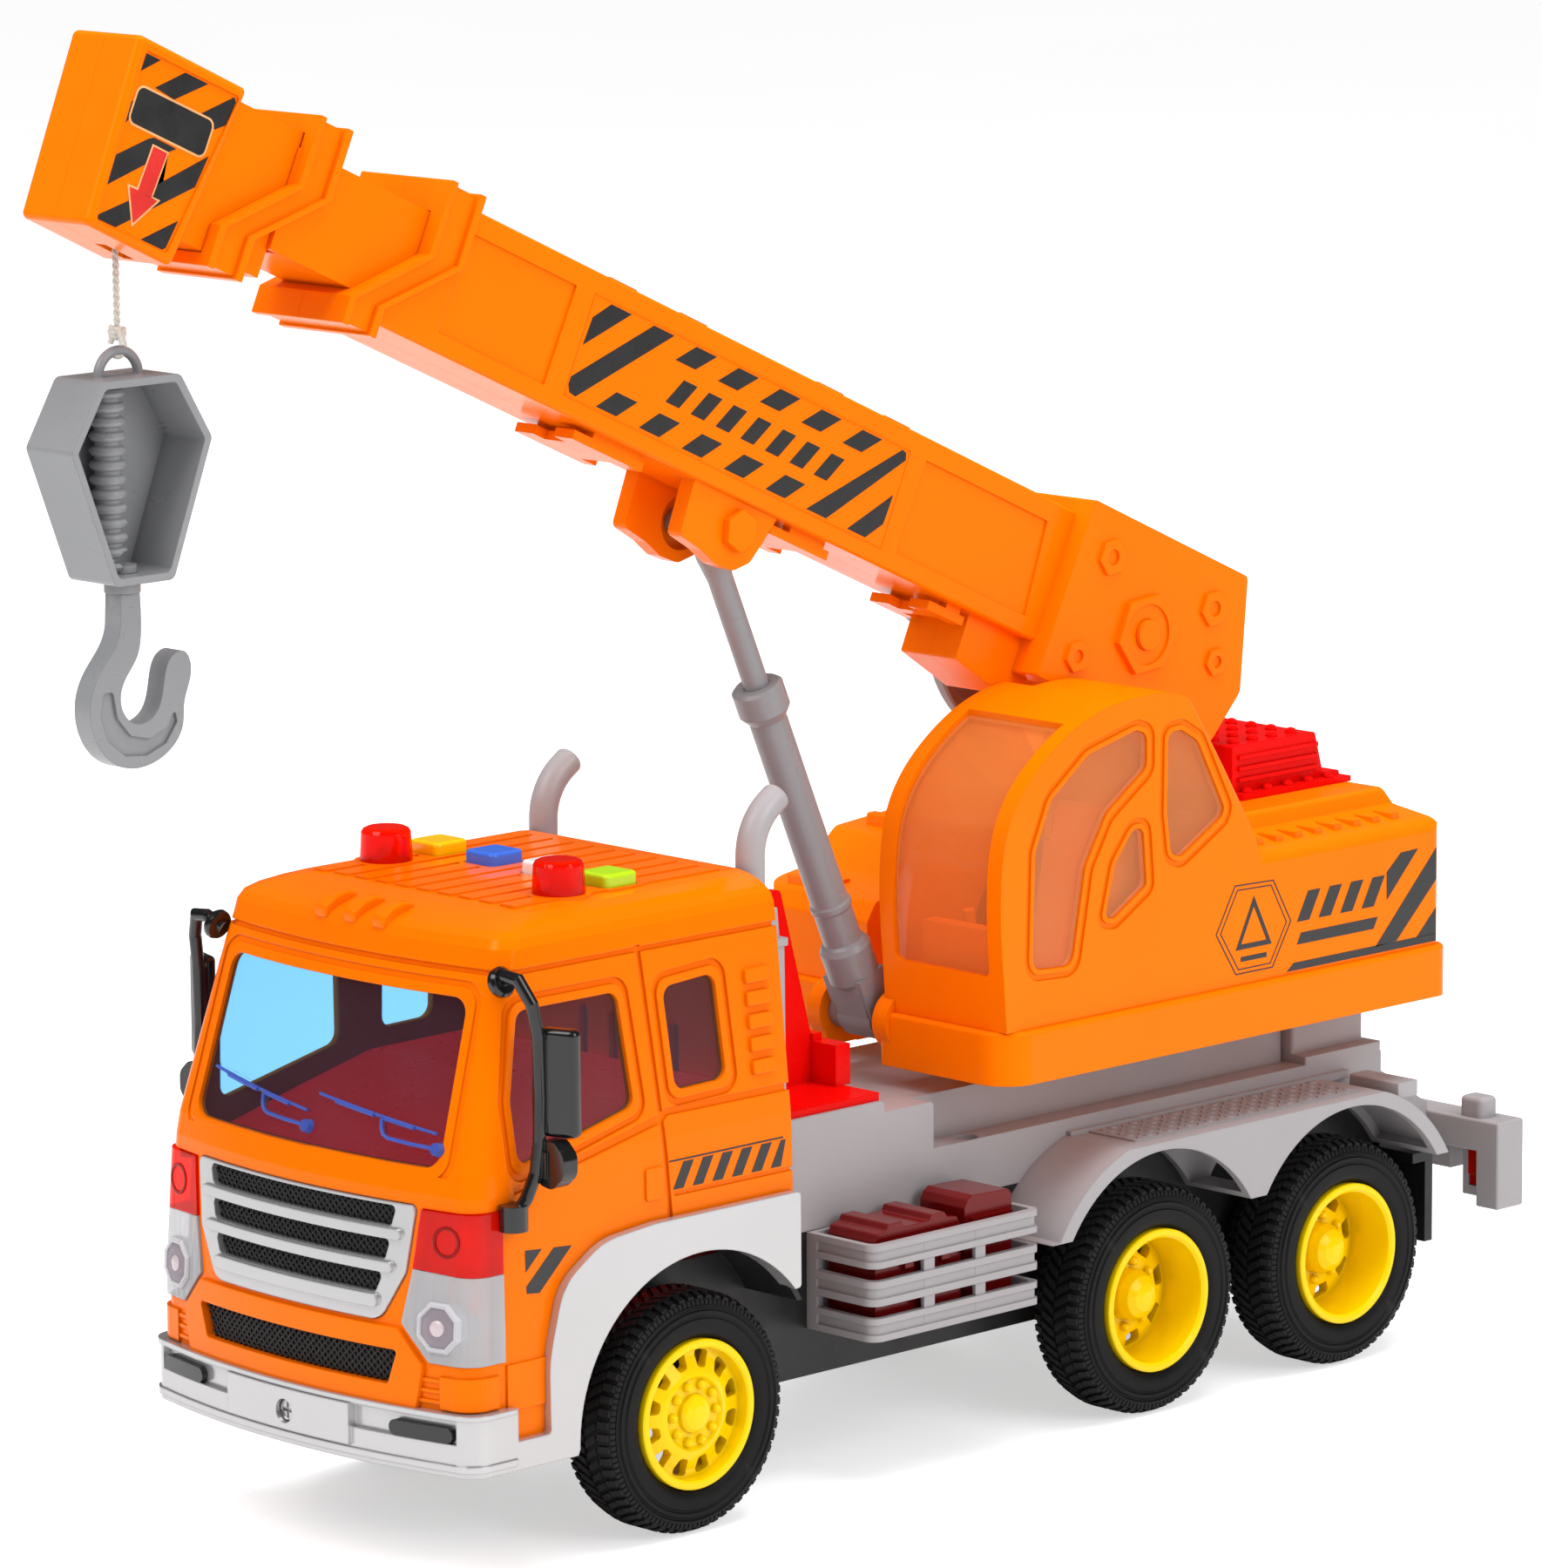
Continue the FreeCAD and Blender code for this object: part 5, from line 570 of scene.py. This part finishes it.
def end_loop(bm):
    """Open loop below the knot."""
    path = []
    for k in range(33):
        angle = math.radians(200 + 320 * k / 32)
        path.append(place(0.25 * math.sin(angle * 0.5), STRING_Y + 1.9 * math.cos(angle),
                          KNOT_Z - 2.6 + 2.2 * math.sin(angle)))
    tube(bm, path, 0.62)


def knot(bm):
    """Three wound turns about a small ball, with a loose tail."""
    turns = []
    for k in range(121):
        angle = 2 * math.pi * 3.0 * k / 120
        share = k / 120
        radius = 1.25 + 0.35 * math.sin(math.pi * share)
        turns.append(place(radius * math.cos(angle), STRING_Y + radius * 0.9 * math.sin(angle),
                           KNOT_Z - 1.0 + 2.6 * share + 0.25 * math.sin(angle * 2)))
    tube(bm, turns, 0.60)
    bmesh.ops.create_icosphere(bm, subdivisions=2, radius=0.0012,
                               matrix=Matrix.Translation(place(0, STRING_Y, KNOT_Z + 0.3)))
    # tail points: x, y from the string, z from the knot
    tail = [(1.2, -0.4, 1.2), (2.0, -0.9, 0.7), (2.7, -1.2, -0.4), (2.9, -1.0, -2.0)]
    tube(bm, [place(x, STRING_Y + y, KNOT_Z + z) for x, y, z in tail],
         [0.55, 0.55, 0.6, 0.7], segments=7)


cord_mesh = bmesh.new()
twisted_cord(cord_mesh)
end_loop(cord_mesh)
knot(cord_mesh)
cord = new_object("string_twisted", cord_mesh, MATERIALS["string_white"],
                  smooth_angle=60)
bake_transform(cord)
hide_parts("hoist_string")

# ------------------------------------------------------------------ printed graphics
# Thin films lying on the panels. Depths are mm out from the panel.
BOOM_HALF, HEAD_HALF, REAR_HALF = 13.0, 11.1, 50.2  # half widths across the panels


def film(name, outlines, material, body, locate, bottom=0.01, top=0.09):
    bm = bmesh.new()
    for outline in outlines:
        slab(bm, outline, locate, bottom, top)
    new_object(name, bm, material, body)


def side_panel(locate, side, half_width):
    """Map onto the flat panel at half_width on one side."""
    return lambda a, b, depth: locate(side * (half_width + depth), a, b)


def boom_bar(start, top, bottom, width, lower_back, lower_ahead):
    """Slanted bar on the boom; its top edge runs from start back towards the pivot."""
    return [(start, top), (start - width, top),
            (start - lower_back, bottom), (start + lower_ahead, bottom)]


def edge_strips(corners, half_width):
    """A strip centred on each edge of a polygon."""
    strips = []
    for (a0, b0), (a1, b1) in zip(corners, corners[1:] + corners[:1]):
        da, db = a1 - a0, b1 - b0
        length = math.hypot(da, db)
        na, nb = -db / length * half_width, da / length * half_width
        strips.append([(a0 - na, b0 - nb), (a1 - na, b1 - nb),
                       (a1 + na, b1 + nb), (a0 + na, b0 + nb)])
    return strips


# boom side panels: along, above
boom_stripes = [
    [(193.3, 15.3), (186.5, 15.3), (198.0, 4.0), (197.6, 10.7)],
    [(178.9, 15.3), (172.0, 15.3), (195.5, -7.5), (197.6, -7.2), (198.6, -5.6), (198.5, -3.7)],
    [(91.6, 15.3), (90.2, 15.0), (89.6, 13.4), (109.0, -7.5), (116.0, -7.5)],
    [(90.2, 4.6), (90.6, -2.7), (95.0, -7.5), (101.4, -7.5)],
]
for k in range(5):
    boom_stripes.append(boom_bar(164.4 - 14.6 * k, 15.3, 10.4, 7.0, 1.7, 5.1))
    boom_stripes.append(boom_bar(183.8 - 14.55 * k, -2.4, -7.5, 7.0, 2.0, 4.8))
for k in range(7):
    boom_stripes.append(boom_bar(165.0 - 8.6 * k, 7.0, 0.6, 4.6, 1.0, 3.6))
BOOM_FRAME = [(198.9, 15.9), (88.9, 15.9), (88.9, -8.2), (198.9, -8.2)]

for tag, side in SIDES:
    boom_panel = side_panel(on_boom, side, BOOM_HALF)
    film("boom_stripes_" + tag, boom_stripes, INK_BLACK, "boom", boom_panel)
    # hair line round the printed panel
    film("boom_panel_line_" + tag, edge_strips(BOOM_FRAME, half_width=0.16),
         MATERIALS["orange_plastic"], "boom", boom_panel, 0.0, 0.12)


def rounded_rectangle(a0, b0, a1, b1, radius):
    corners = ((a1 - radius, b1 - radius, 0), (a0 + radius, b1 - radius, 90),
               (a0 + radius, b0 + radius, 180), (a1 - radius, b0 + radius, 270))
    points = []
    for centre_a, centre_b, start in corners:
        for k in range(6):
            angle = math.radians(start + 90 * k / 5)
            points.append((centre_a + radius * math.cos(angle),
                           centre_b + radius * math.sin(angle)))
    return points


# boom head: along, above
HEAD_STRIPES = [
    [(341.0, 19.4), (336.8, 19.4), (341.0, 15.4)],
    [(329.3, 19.4), (322.4, 19.4), (330.0, 13.0), (335.9, 13.5)],
    [(340.2, 9.3), (340.2, 4.6), (340.9, 3.4), (341.0, 8.2)],
    [(314.4, 19.4), (313.6, 18.6), (314.2, 13.1), (316.8, 11.1), (321.9, 12.8)],
    [(332.0, 3.6), (325.3, 3.5), (327.2, 2.0), (340.3, -10.1), (340.7, -3.6), (333.3, 2.9)],
    [(316.2, 5.2), (317.2, -2.2), (334.6, -17.7), (339.8, -17.7), (340.1, -16.8),
     (333.1, -11.0), (326.8, -4.9)],
    [(318.8, -10.5), (319.8, -17.0), (320.6, -17.7), (327.0, -17.7)],
]
PLATE_RIM = rounded_rectangle(317.3, 3.9, 340.5, 12.9, radius=2.0)
PLATE = rounded_rectangle(317.8, 4.4, 340.0, 12.4, radius=1.6)
ARROW_RIM = [(331.9, 2.2), (327.0, 2.1), (327.5, -8.2), (325.2, -8.2), (330.5, -16.1),
             (335.2, -8.0), (332.3, -7.9)]
ARROW = [(331.5, 1.8), (327.4, 1.7), (327.9, -8.6), (326.0, -8.6), (330.5, -15.3),
         (334.4, -8.4), (331.9, -8.3)]
# name, outlines, ink, bottom and top depth
HEAD_FILMS = [
    ("head_stripes_", HEAD_STRIPES, INK_BLACK, 0.01, 0.09),
    ("head_plate_rim_", [PLATE_RIM], INK_PALE, 0.02, 0.14),
    ("head_plate_", [PLATE], INK_BLACK, 0.05, 0.18),
    ("head_arrow_rim_", [ARROW_RIM], INK_PALE, 0.02, 0.145),
    ("head_arrow_", [ARROW], INK_RED, 0.05, 0.185),
]
for tag, side in SIDES:
    for name, outlines, film_ink, bottom, top in HEAD_FILMS:
        film(name + tag, outlines, film_ink, "tip_section",
             side_panel(on_boom, side, HEAD_HALF), bottom, top)


def outline_band(corners, width_share):
    """Quads between a polygon and its copy shrunk about the mean corner."""
    count = len(corners)
    mid_a = sum(a for a, _ in corners) / count
    mid_b = sum(b for _, b in corners) / count
    inner = [(mid_a + (a - mid_a) * (1 - width_share), mid_b + (b - mid_b) * (1 - width_share))
             for a, b in corners]
    band = []
    for i in range(count):
        j = (i + 1) % count
        band.append([corners[i], corners[j], inner[j], inner[i]])
    return band


# rear body sides: y, z
HEXAGON_OUTER = [(174.5, 113.2), (181.2, 124.4), (195.0, 124.0), (201.4, 113.0),
                 (194.8, 102.4), (181.6, 102.4)]
HEXAGON_INNER = [(176.1, 113.2), (182.1, 123.2), (194.2, 122.9), (199.8, 113.0),
                 (194.0, 103.5), (182.5, 103.5)]
TRIANGLE = [(188.0, 121.0), (181.6, 108.4), (194.4, 108.4)]
rear_stripes = (outline_band(HEXAGON_OUTER, 0.030) + outline_band(HEXAGON_INNER, 0.030)
                + outline_band(TRIANGLE, 0.30))
rear_stripes += [
    [(235.9, 120.2), (241.1, 124.4), (247.4, 124.6), (236.0, 113.3)],
    [(254.2, 124.0), (254.2, 116.0), (239.6, 102.6), (231.9, 102.2)],
    [(254.2, 109.0), (254.2, 102.4), (247.0, 102.4)],
    [(199.8, 100.6), (202.3, 102.5), (254.2, 102.5), (254.2, 100.6)],
]
for k in range(4):
    y = 203.4 + 7.8 * k
    rear_stripes.append([(y, 112.4), (y + 4.0, 119.6), (y + 8.4, 119.6), (y + 4.4, 112.4)])
# long bar under the slanted ones, and a short bar under the triangle
rear_stripes.append([(203.4, 106.8), (204.9, 109.6), (232.7, 109.6), (231.2, 106.8)])
rear_stripes.append([(183.4, 105.4), (183.4, 106.6), (192.6, 106.6), (192.6, 105.4)])

for tag, side in SIDES:
    film("rear_stripes_" + tag, rear_stripes, INK_BLACK, "upper",
         side_panel(place, side, REAR_HALF))

# ------------------------------------------------------------------ cab surface
# z, half width of the cab
CAB_HALF_WIDTHS = [(24.0, 52.6), (57.0, 52.6), (88.0, 52.0), (93.0, 51.7), (131.0, 47.8),
                   (136.5, 47.2)]
# z, y of the cab front on the middle line
CAB_FRONT = [(24.0, -74.6), (57.0, -74.6), (88.0, -72.4), (93.0, -71.4), (131.0, -59.6)]


def interpolate(table, z):
    """Value at z, which lies within the table."""
    for (z0, value0), (z1, value1) in zip(table[:-1], table[1:]):
        if z0 <= z <= z1:
            return value0 + (value1 - value0) * (z - z0) / (z1 - z0)


def on_nose(x, z, ahead=0.25):
    """Point ahead of the cab front, which bows back by 7.3 at x = 54.9."""
    return place(x, interpolate(CAB_FRONT, z) + 7.3 * (x / 54.9) ** 2 - ahead, z)


# cab side prints: y, z
cab_stripes = []
for k in range(6):
    y = -6.4 + 6.1 * k
    cab_stripes.append([(y, 80.9), (y + 3.2, 80.9), (min(y + 3.4 + 3.2, 29.0), 86.9),
                        (y + 3.4, 86.9)])
# thin line above the bars
cab_stripes.append([(-7.4, 87.3), (28.2, 87.3), (28.2, 87.7), (-7.4, 87.7)])
ARCH_STRIPES = [
    [(-51.6, 74.6), (-46.6, 74.2), (-51.6, 69.6)],
    [(-43.0, 73.9), (-37.6, 73.5), (-47.6, 64.4), (-51.4, 64.8), (-51.5, 66.4)],
]


def cab_panel(side):
    return lambda y, z, depth: place(side * (interpolate(CAB_HALF_WIDTHS, z) + depth), y, z)


for tag, side in SIDES:
    film("cab_stripes_rear_" + tag, cab_stripes, INK_BLACK, "truck", cab_panel(side))
    film("cab_stripes_arch_" + tag, ARCH_STRIPES, INK_BLACK, "truck", cab_panel(side))

# ------------------------------------------------------------------ grille meshes
# openings: bottom z, top z, half width at the bottom and at the top, depth into the nose
GRILLE_OPENINGS = [
    (79.7, 84.7, 30.2, 31.7, 0.95),
    (72.1, 77.1, 28.8, 30.3, 0.95),
    (64.5, 69.5, 26.4, 28.7, 0.95),
    (44.8, 52.4, 30.6, 33.3, 0.55),
]
WIRE_PITCH = 1.9
WIRE_R = 0.30


def woven_panel(bm, z0, z1, half0, half1, depth):
    """Criss-cross wires in front of a backing sheet."""
    def half_width(z):
        return half0 + (half1 - half0) * (z - z0) / (z1 - z0)

    columns = 24
    sheets = []
    for sheet_depth in (0.25, 0.75):
        sheet = []
        for k in range(columns + 1):
            share = -1 + 2 * k / columns
            sheet.append([bm.verts.new(on_nose(share * half_width(z), z, -(depth + sheet_depth)))
                          for z in (z0, (z0 + z1) / 2, z1)])
        sheets.append(sheet)
    front, back = sheets
    for i in range(columns):
        for j in range(2):
            bm.faces.new((front[i][j], front[i + 1][j], front[i + 1][j + 1], front[i][j + 1]))
            bm.faces.new((back[i][j], back[i][j + 1], back[i + 1][j + 1], back[i + 1][j]))
        bm.faces.new((front[i][0], back[i][0], back[i + 1][0], front[i + 1][0]))
        bm.faces.new((front[i][2], front[i + 1][2], back[i + 1][2], back[i][2]))
    for j in range(2):
        bm.faces.new((front[0][j], front[0][j + 1], back[0][j + 1], back[0][j]))
        bm.faces.new((front[-1][j], back[-1][j], back[-1][j + 1], front[-1][j + 1]))

    # wires at plus and minus 45 degrees, waving slightly in and out
    height = z1 - z0
    widest = max(half0, half1)
    for slope in (1, -1):
        for k in range(int((2 * widest + height) / WIRE_PITCH) + 1):
            middle = -widest - height / 2 + k * WIRE_PITCH
            path = []
            for q in range(7):
                z = z0 + height * q / 6
                x = middle + slope * (z - (z0 + z1) / 2)
                wave = 0.036 if (q + k) % 2 else -0.036
                if abs(x) <= half_width(z) + 0.2:
                    path.append(on_nose(x, z, -(depth + wave)))
            if len(path) >= 2:
                tube(bm, path, WIRE_R, segments=5)


grille_mesh = bmesh.new()
for opening in GRILLE_OPENINGS:
    woven_panel(grille_mesh, *opening)
grille = new_object("grille_woven", grille_mesh, MATERIALS["black_mesh"], "truck",
                    smooth_angle=60)
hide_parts("grille_mesh")

# ------------------------------------------------------------------ wipers on the screen
# arm of the left wiper from its pivot: x, z
WIPER_ARM = [(40.2, 97.9), (38.1, 98.1), (33.0, 98.3), (26.6, 98.7), (25.0, 99.2),
             (24.0, 100.6), (23.6, 102.6)]


def wiper(tag, shift):
    """Blade, its two thicker stretches, arm and pivot cap, shifted in x."""
    bm = bmesh.new()
    blade = [on_nose(3.0 + shift + 36.2 * k / 12, 105.2 - 4.1 * k / 12) for k in range(13)]
    tube(bm, blade, 0.38)
    raised = [point + Vector((0, -0.0003, -0.0001)) for point in blade]
    tube(bm, raised[2:7], 0.62)
    tube(bm, raised[7:11], 0.58)
    tube(bm, [on_nose(x + shift, z, 0.7) for x, z in WIPER_ARM], 0.48)
    pivot_x, pivot_z = WIPER_ARM[0]
    tilt = Matrix.Rotation(math.radians(72), 4, "X")
    bmesh.ops.create_cone(
        bm, cap_ends=True, segments=20, radius1=0.0017, radius2=0.0014, depth=0.0016,
        matrix=Matrix.Translation(on_nose(pivot_x + shift, pivot_z, 0.5)) @ tilt)
    new_object("wiper_" + tag, bm, WIPER_BLUE, "truck", smooth_angle=50)


wiper("right", -39.2)
wiper("left", 0.0)

# ------------------------------------------------------------------ lamps on the nose
HEADLAMP_X, HEADLAMP_Z = 44.6, 59.0
MARKER_X, MARKER_Z = 45.6, 78.2
# sections: radius, height over the nose
BEZEL_SECTION = [(6.1, -1.2), (6.1, 1.2), (5.6, 1.7), (5.0, 1.7), (4.8, 1.4), (4.8, -1.2)]
FACE_SECTION = [(4.75, 0.2), (4.75, 1.1), (4.1, 1.35), (2.6, 1.4), (0, 1.4)]
CORE_SECTION = [(1.9, 1.35), (1.8, 1.6), (1.2, 1.85), (0, 1.95)]
MARKER_SECTION = [(3.6, 0.70), (3.6, 0.95), (2.8, 0.95), (2.8, 0.70)]


def nose_loops(bm, section, x, z, count, turn=0.0):
    loops = []
    for radius, height in section:
        loop = []
        for k in range(count):
            angle = turn + 2 * math.pi * k / count
            loop.append(bm.verts.new(on_nose(
                x + radius * math.cos(angle), z + radius * math.sin(angle), height)))
        loops.append(loop)
    return loops


def nose_ring(section, x, z, count, turn=0.0):
    """Ring whose section closes on itself."""
    bm = bmesh.new()
    loops = nose_loops(bm, section, x, z, count, turn)
    for first, second in zip(loops, loops[1:] + loops[:1]):
        bridge(bm, first, second)
    return bm


def nose_dome(section, x, z, count):
    """Round cap; the section runs from the rim to the middle point."""
    bm = bmesh.new()
    loops = nose_loops(bm, section[:-1], x, z, count)
    tip = bm.verts.new(on_nose(x, z, section[-1][1]))
    for first, second in zip(loops[:-1], loops[1:]):
        bridge(bm, first, second)
    for k in range(count):
        bm.faces.new((loops[-1][k], loops[-1][(k + 1) % count], tip))
    bm.faces.new(list(reversed(loops[0])))
    return bm


for tag, side in SIDES:
    lamp_x = side * HEADLAMP_X
    new_object("headlamp_bezel_" + tag,
               nose_ring(BEZEL_SECTION, lamp_x, HEADLAMP_Z, count=8, turn=math.pi / 8),
               BEZEL, "truck")
    new_object("headlamp_face_" + tag, nose_dome(FACE_SECTION, lamp_x, HEADLAMP_Z, count=32),
               LAMP_FACE, "truck", smooth_angle=40)
    new_object("headlamp_core_" + tag, nose_dome(CORE_SECTION, lamp_x, HEADLAMP_Z, count=24),
               LAMP_CORE, "truck", smooth_angle=40)
    new_object("marker_ring_" + tag,
               nose_ring(MARKER_SECTION, side * MARKER_X, MARKER_Z, count=32),
               MARKER_RING, "truck", smooth_angle=40)

# ------------------------------------------------------------------ diamond plate on the fenders
FENDER_TOP_Z = 67.3
STUD_HALF_LENGTH, STUD_HALF_WIDTH, STUD_HEIGHT = 1.35, 0.42, 0.34
STUD_SINK = 0.1  # how far the studs reach into the fender


def stud(bm, side, x, y, angle):
    """Low tapered rhombus, turned by the angle."""
    cos, sin = math.cos(angle), math.sin(angle)

    def loop(length, width, z):
        corners = ((length, 0.0), (0.0, width), (-length, 0.0), (0.0, -width))
        return [bm.verts.new(place(side * (x + p * cos - q * sin), y + p * sin + q * cos, z))
                for p, q in corners]

    low = loop(STUD_HALF_LENGTH, STUD_HALF_WIDTH, FENDER_TOP_Z - STUD_SINK)
    high = loop(STUD_HALF_LENGTH * 0.72, STUD_HALF_WIDTH * 0.5, FENDER_TOP_Z + STUD_HEIGHT)
    bridge(bm, low, high)
    bm.faces.new(high)
    bm.faces.new(list(reversed(low)))


stud_mesh = bmesh.new()
for _, side in SIDES:
    for i in range(5):
        for j in range(22):
            stud(stud_mesh, side, 36.6 + 2.9 * i, 149.6 + 3.55 * j,
                 math.radians(45 if (i + j) % 2 else -45))
new_object("fender_tread_plate", stud_mesh, MATERIALS["light_grey_plastic"], "truck")


# ------------------------------------------------------------------ floor
def floor_material():
    """Pale paper that looks brighter to the camera than to the truck."""
    material, tree, shader, coords = new_material("floor_paper")
    patches = noise(tree, coords, scale=3.0, detail=3.0, rough=0.5)
    camera_ray = add_node(tree, "LightPath").outputs["Is Camera Ray"]
    set_inputs(tree, shader, {
        "Base Color": mix_colours(tree, remap(tree, patches, (0.3, 0.7)),
                                  (0.80, 0.80, 0.80), (0.82, 0.82, 0.82)),
        "Roughness": 0.6,
        "Specular IOR Level": 0.1,
        "Emission Strength": math_node(tree, "MULTIPLY", camera_ray, 0.55),
        "Emission Color": (1, 1, 1, 1),
    })
    return material


half = 14.0  # metres
floor_mesh = bpy.data.meshes.new("floor")
floor_mesh.from_pydata(
    [(-half, -half, 0.0), (half, -half, 0.0), (half, half, 0.0), (-half, half, 0.0)],
    [], [(0, 1, 2, 3)])
floor = bpy.data.objects.new("floor", floor_mesh)
bpy.context.scene.collection.objects.link(floor)
floor_mesh.materials.append(floor_material())


# ------------------------------------------------------------------ world
def white_background(tree, strength):
    return add_node(tree, "Background", {
        "Color": (1.0, 1.0, 1.0, 1), "Strength": strength}).outputs[0]


def studio_world():
    """White surround, dimmed for reflections and for diffuse light."""
    world = bpy.data.worlds.new("studio")
    bpy.context.scene.world = world
    world.use_nodes = True
    tree = world.node_tree
    tree.nodes.clear()
    output = add_node(tree, "OutputWorld")
    seen = white_background(tree, strength=1.0)
    reflected = white_background(tree, strength=0.06)
    diffused = white_background(tree, strength=0.56)
    rays = add_node(tree, "LightPath").outputs
    surround = mix_shaders(tree, rays["Is Glossy Ray"], seen, reflected)
    surround = mix_shaders(tree, rays["Is Diffuse Ray"], surround, diffused)
    set_inputs(tree, output, {"Surface": surround})


studio_world()


# ------------------------------------------------------------------ lights
def softbox(name, location, target, size, power, in_reflections=True):
    """Square area light aimed at the target; metres and watts."""
    light = bpy.data.lights.new(name, "AREA")
    light.shape = "RECTANGLE"
    light.size = size
    light.size_y = size
    light.energy = power
    obj = bpy.data.objects.new(name, light)
    bpy.context.scene.collection.objects.link(obj)
    obj.location = location
    obj.rotation_mode = "QUATERNION"
    aim = Vector(target) - Vector(location)
    obj.rotation_quaternion = aim.to_track_quat("-Z", "Y")
    obj.visible_glossy = in_reflections


softbox("key", (-0.15, -1.15, 1.25), target=(0, 0, 0.12), size=0.9, power=11.0)
softbox("side", (1.45, 0.15, 0.85), target=(0, 0, 0.12), size=0.9, power=9.0)
# the overhead and back softboxes only fill, so that level faces keep their full colour
softbox("top", (0.1, 0.1, 1.5), target=(0, 0, 0.1), size=1.0, power=19.0,
        in_reflections=False)
softbox("back", (-1.0, 1.1, 1.1), target=(0, 0, 0.15), size=0.8, power=5.0,
        in_reflections=False)


# ------------------------------------------------------------------ camera
def add_camera(azimuth, elevation, roll, position):
    """Camera ahead of the truck on its left; azimuth is measured from -Y towards +X."""
    camera = bpy.data.cameras.new("cam")
    camera.sensor_fit = "AUTO"
    camera.sensor_width = 36.0
    camera.lens = 185.7672
    camera.clip_start = 0.05
    camera.clip_end = 20.0
    obj = bpy.data.objects.new("cam", camera)
    bpy.context.scene.collection.objects.link(obj)
    back = Vector((math.sin(azimuth) * math.cos(elevation),
                   -math.cos(azimuth) * math.cos(elevation), math.sin(elevation)))
    forward = -back
    right = forward.cross(Vector((0, 0, 1))).normalized()
    up = right.cross(forward)
    rolled_right = right * math.cos(roll) + up * math.sin(roll)
    rolled_up = -right * math.sin(roll) + up * math.cos(roll)
    pose = Matrix((rolled_right, rolled_up, back)).transposed().to_4x4()
    pose.translation = position
    obj.matrix_world = pose
    bpy.context.scene.camera = obj


add_camera(azimuth=math.radians(45.92), elevation=math.radians(10.05),
           roll=math.radians(-0.38), position=place(1340.24, -1222.35, 487.12))
bpy.context.scene.view_settings.view_transform = "Standard"
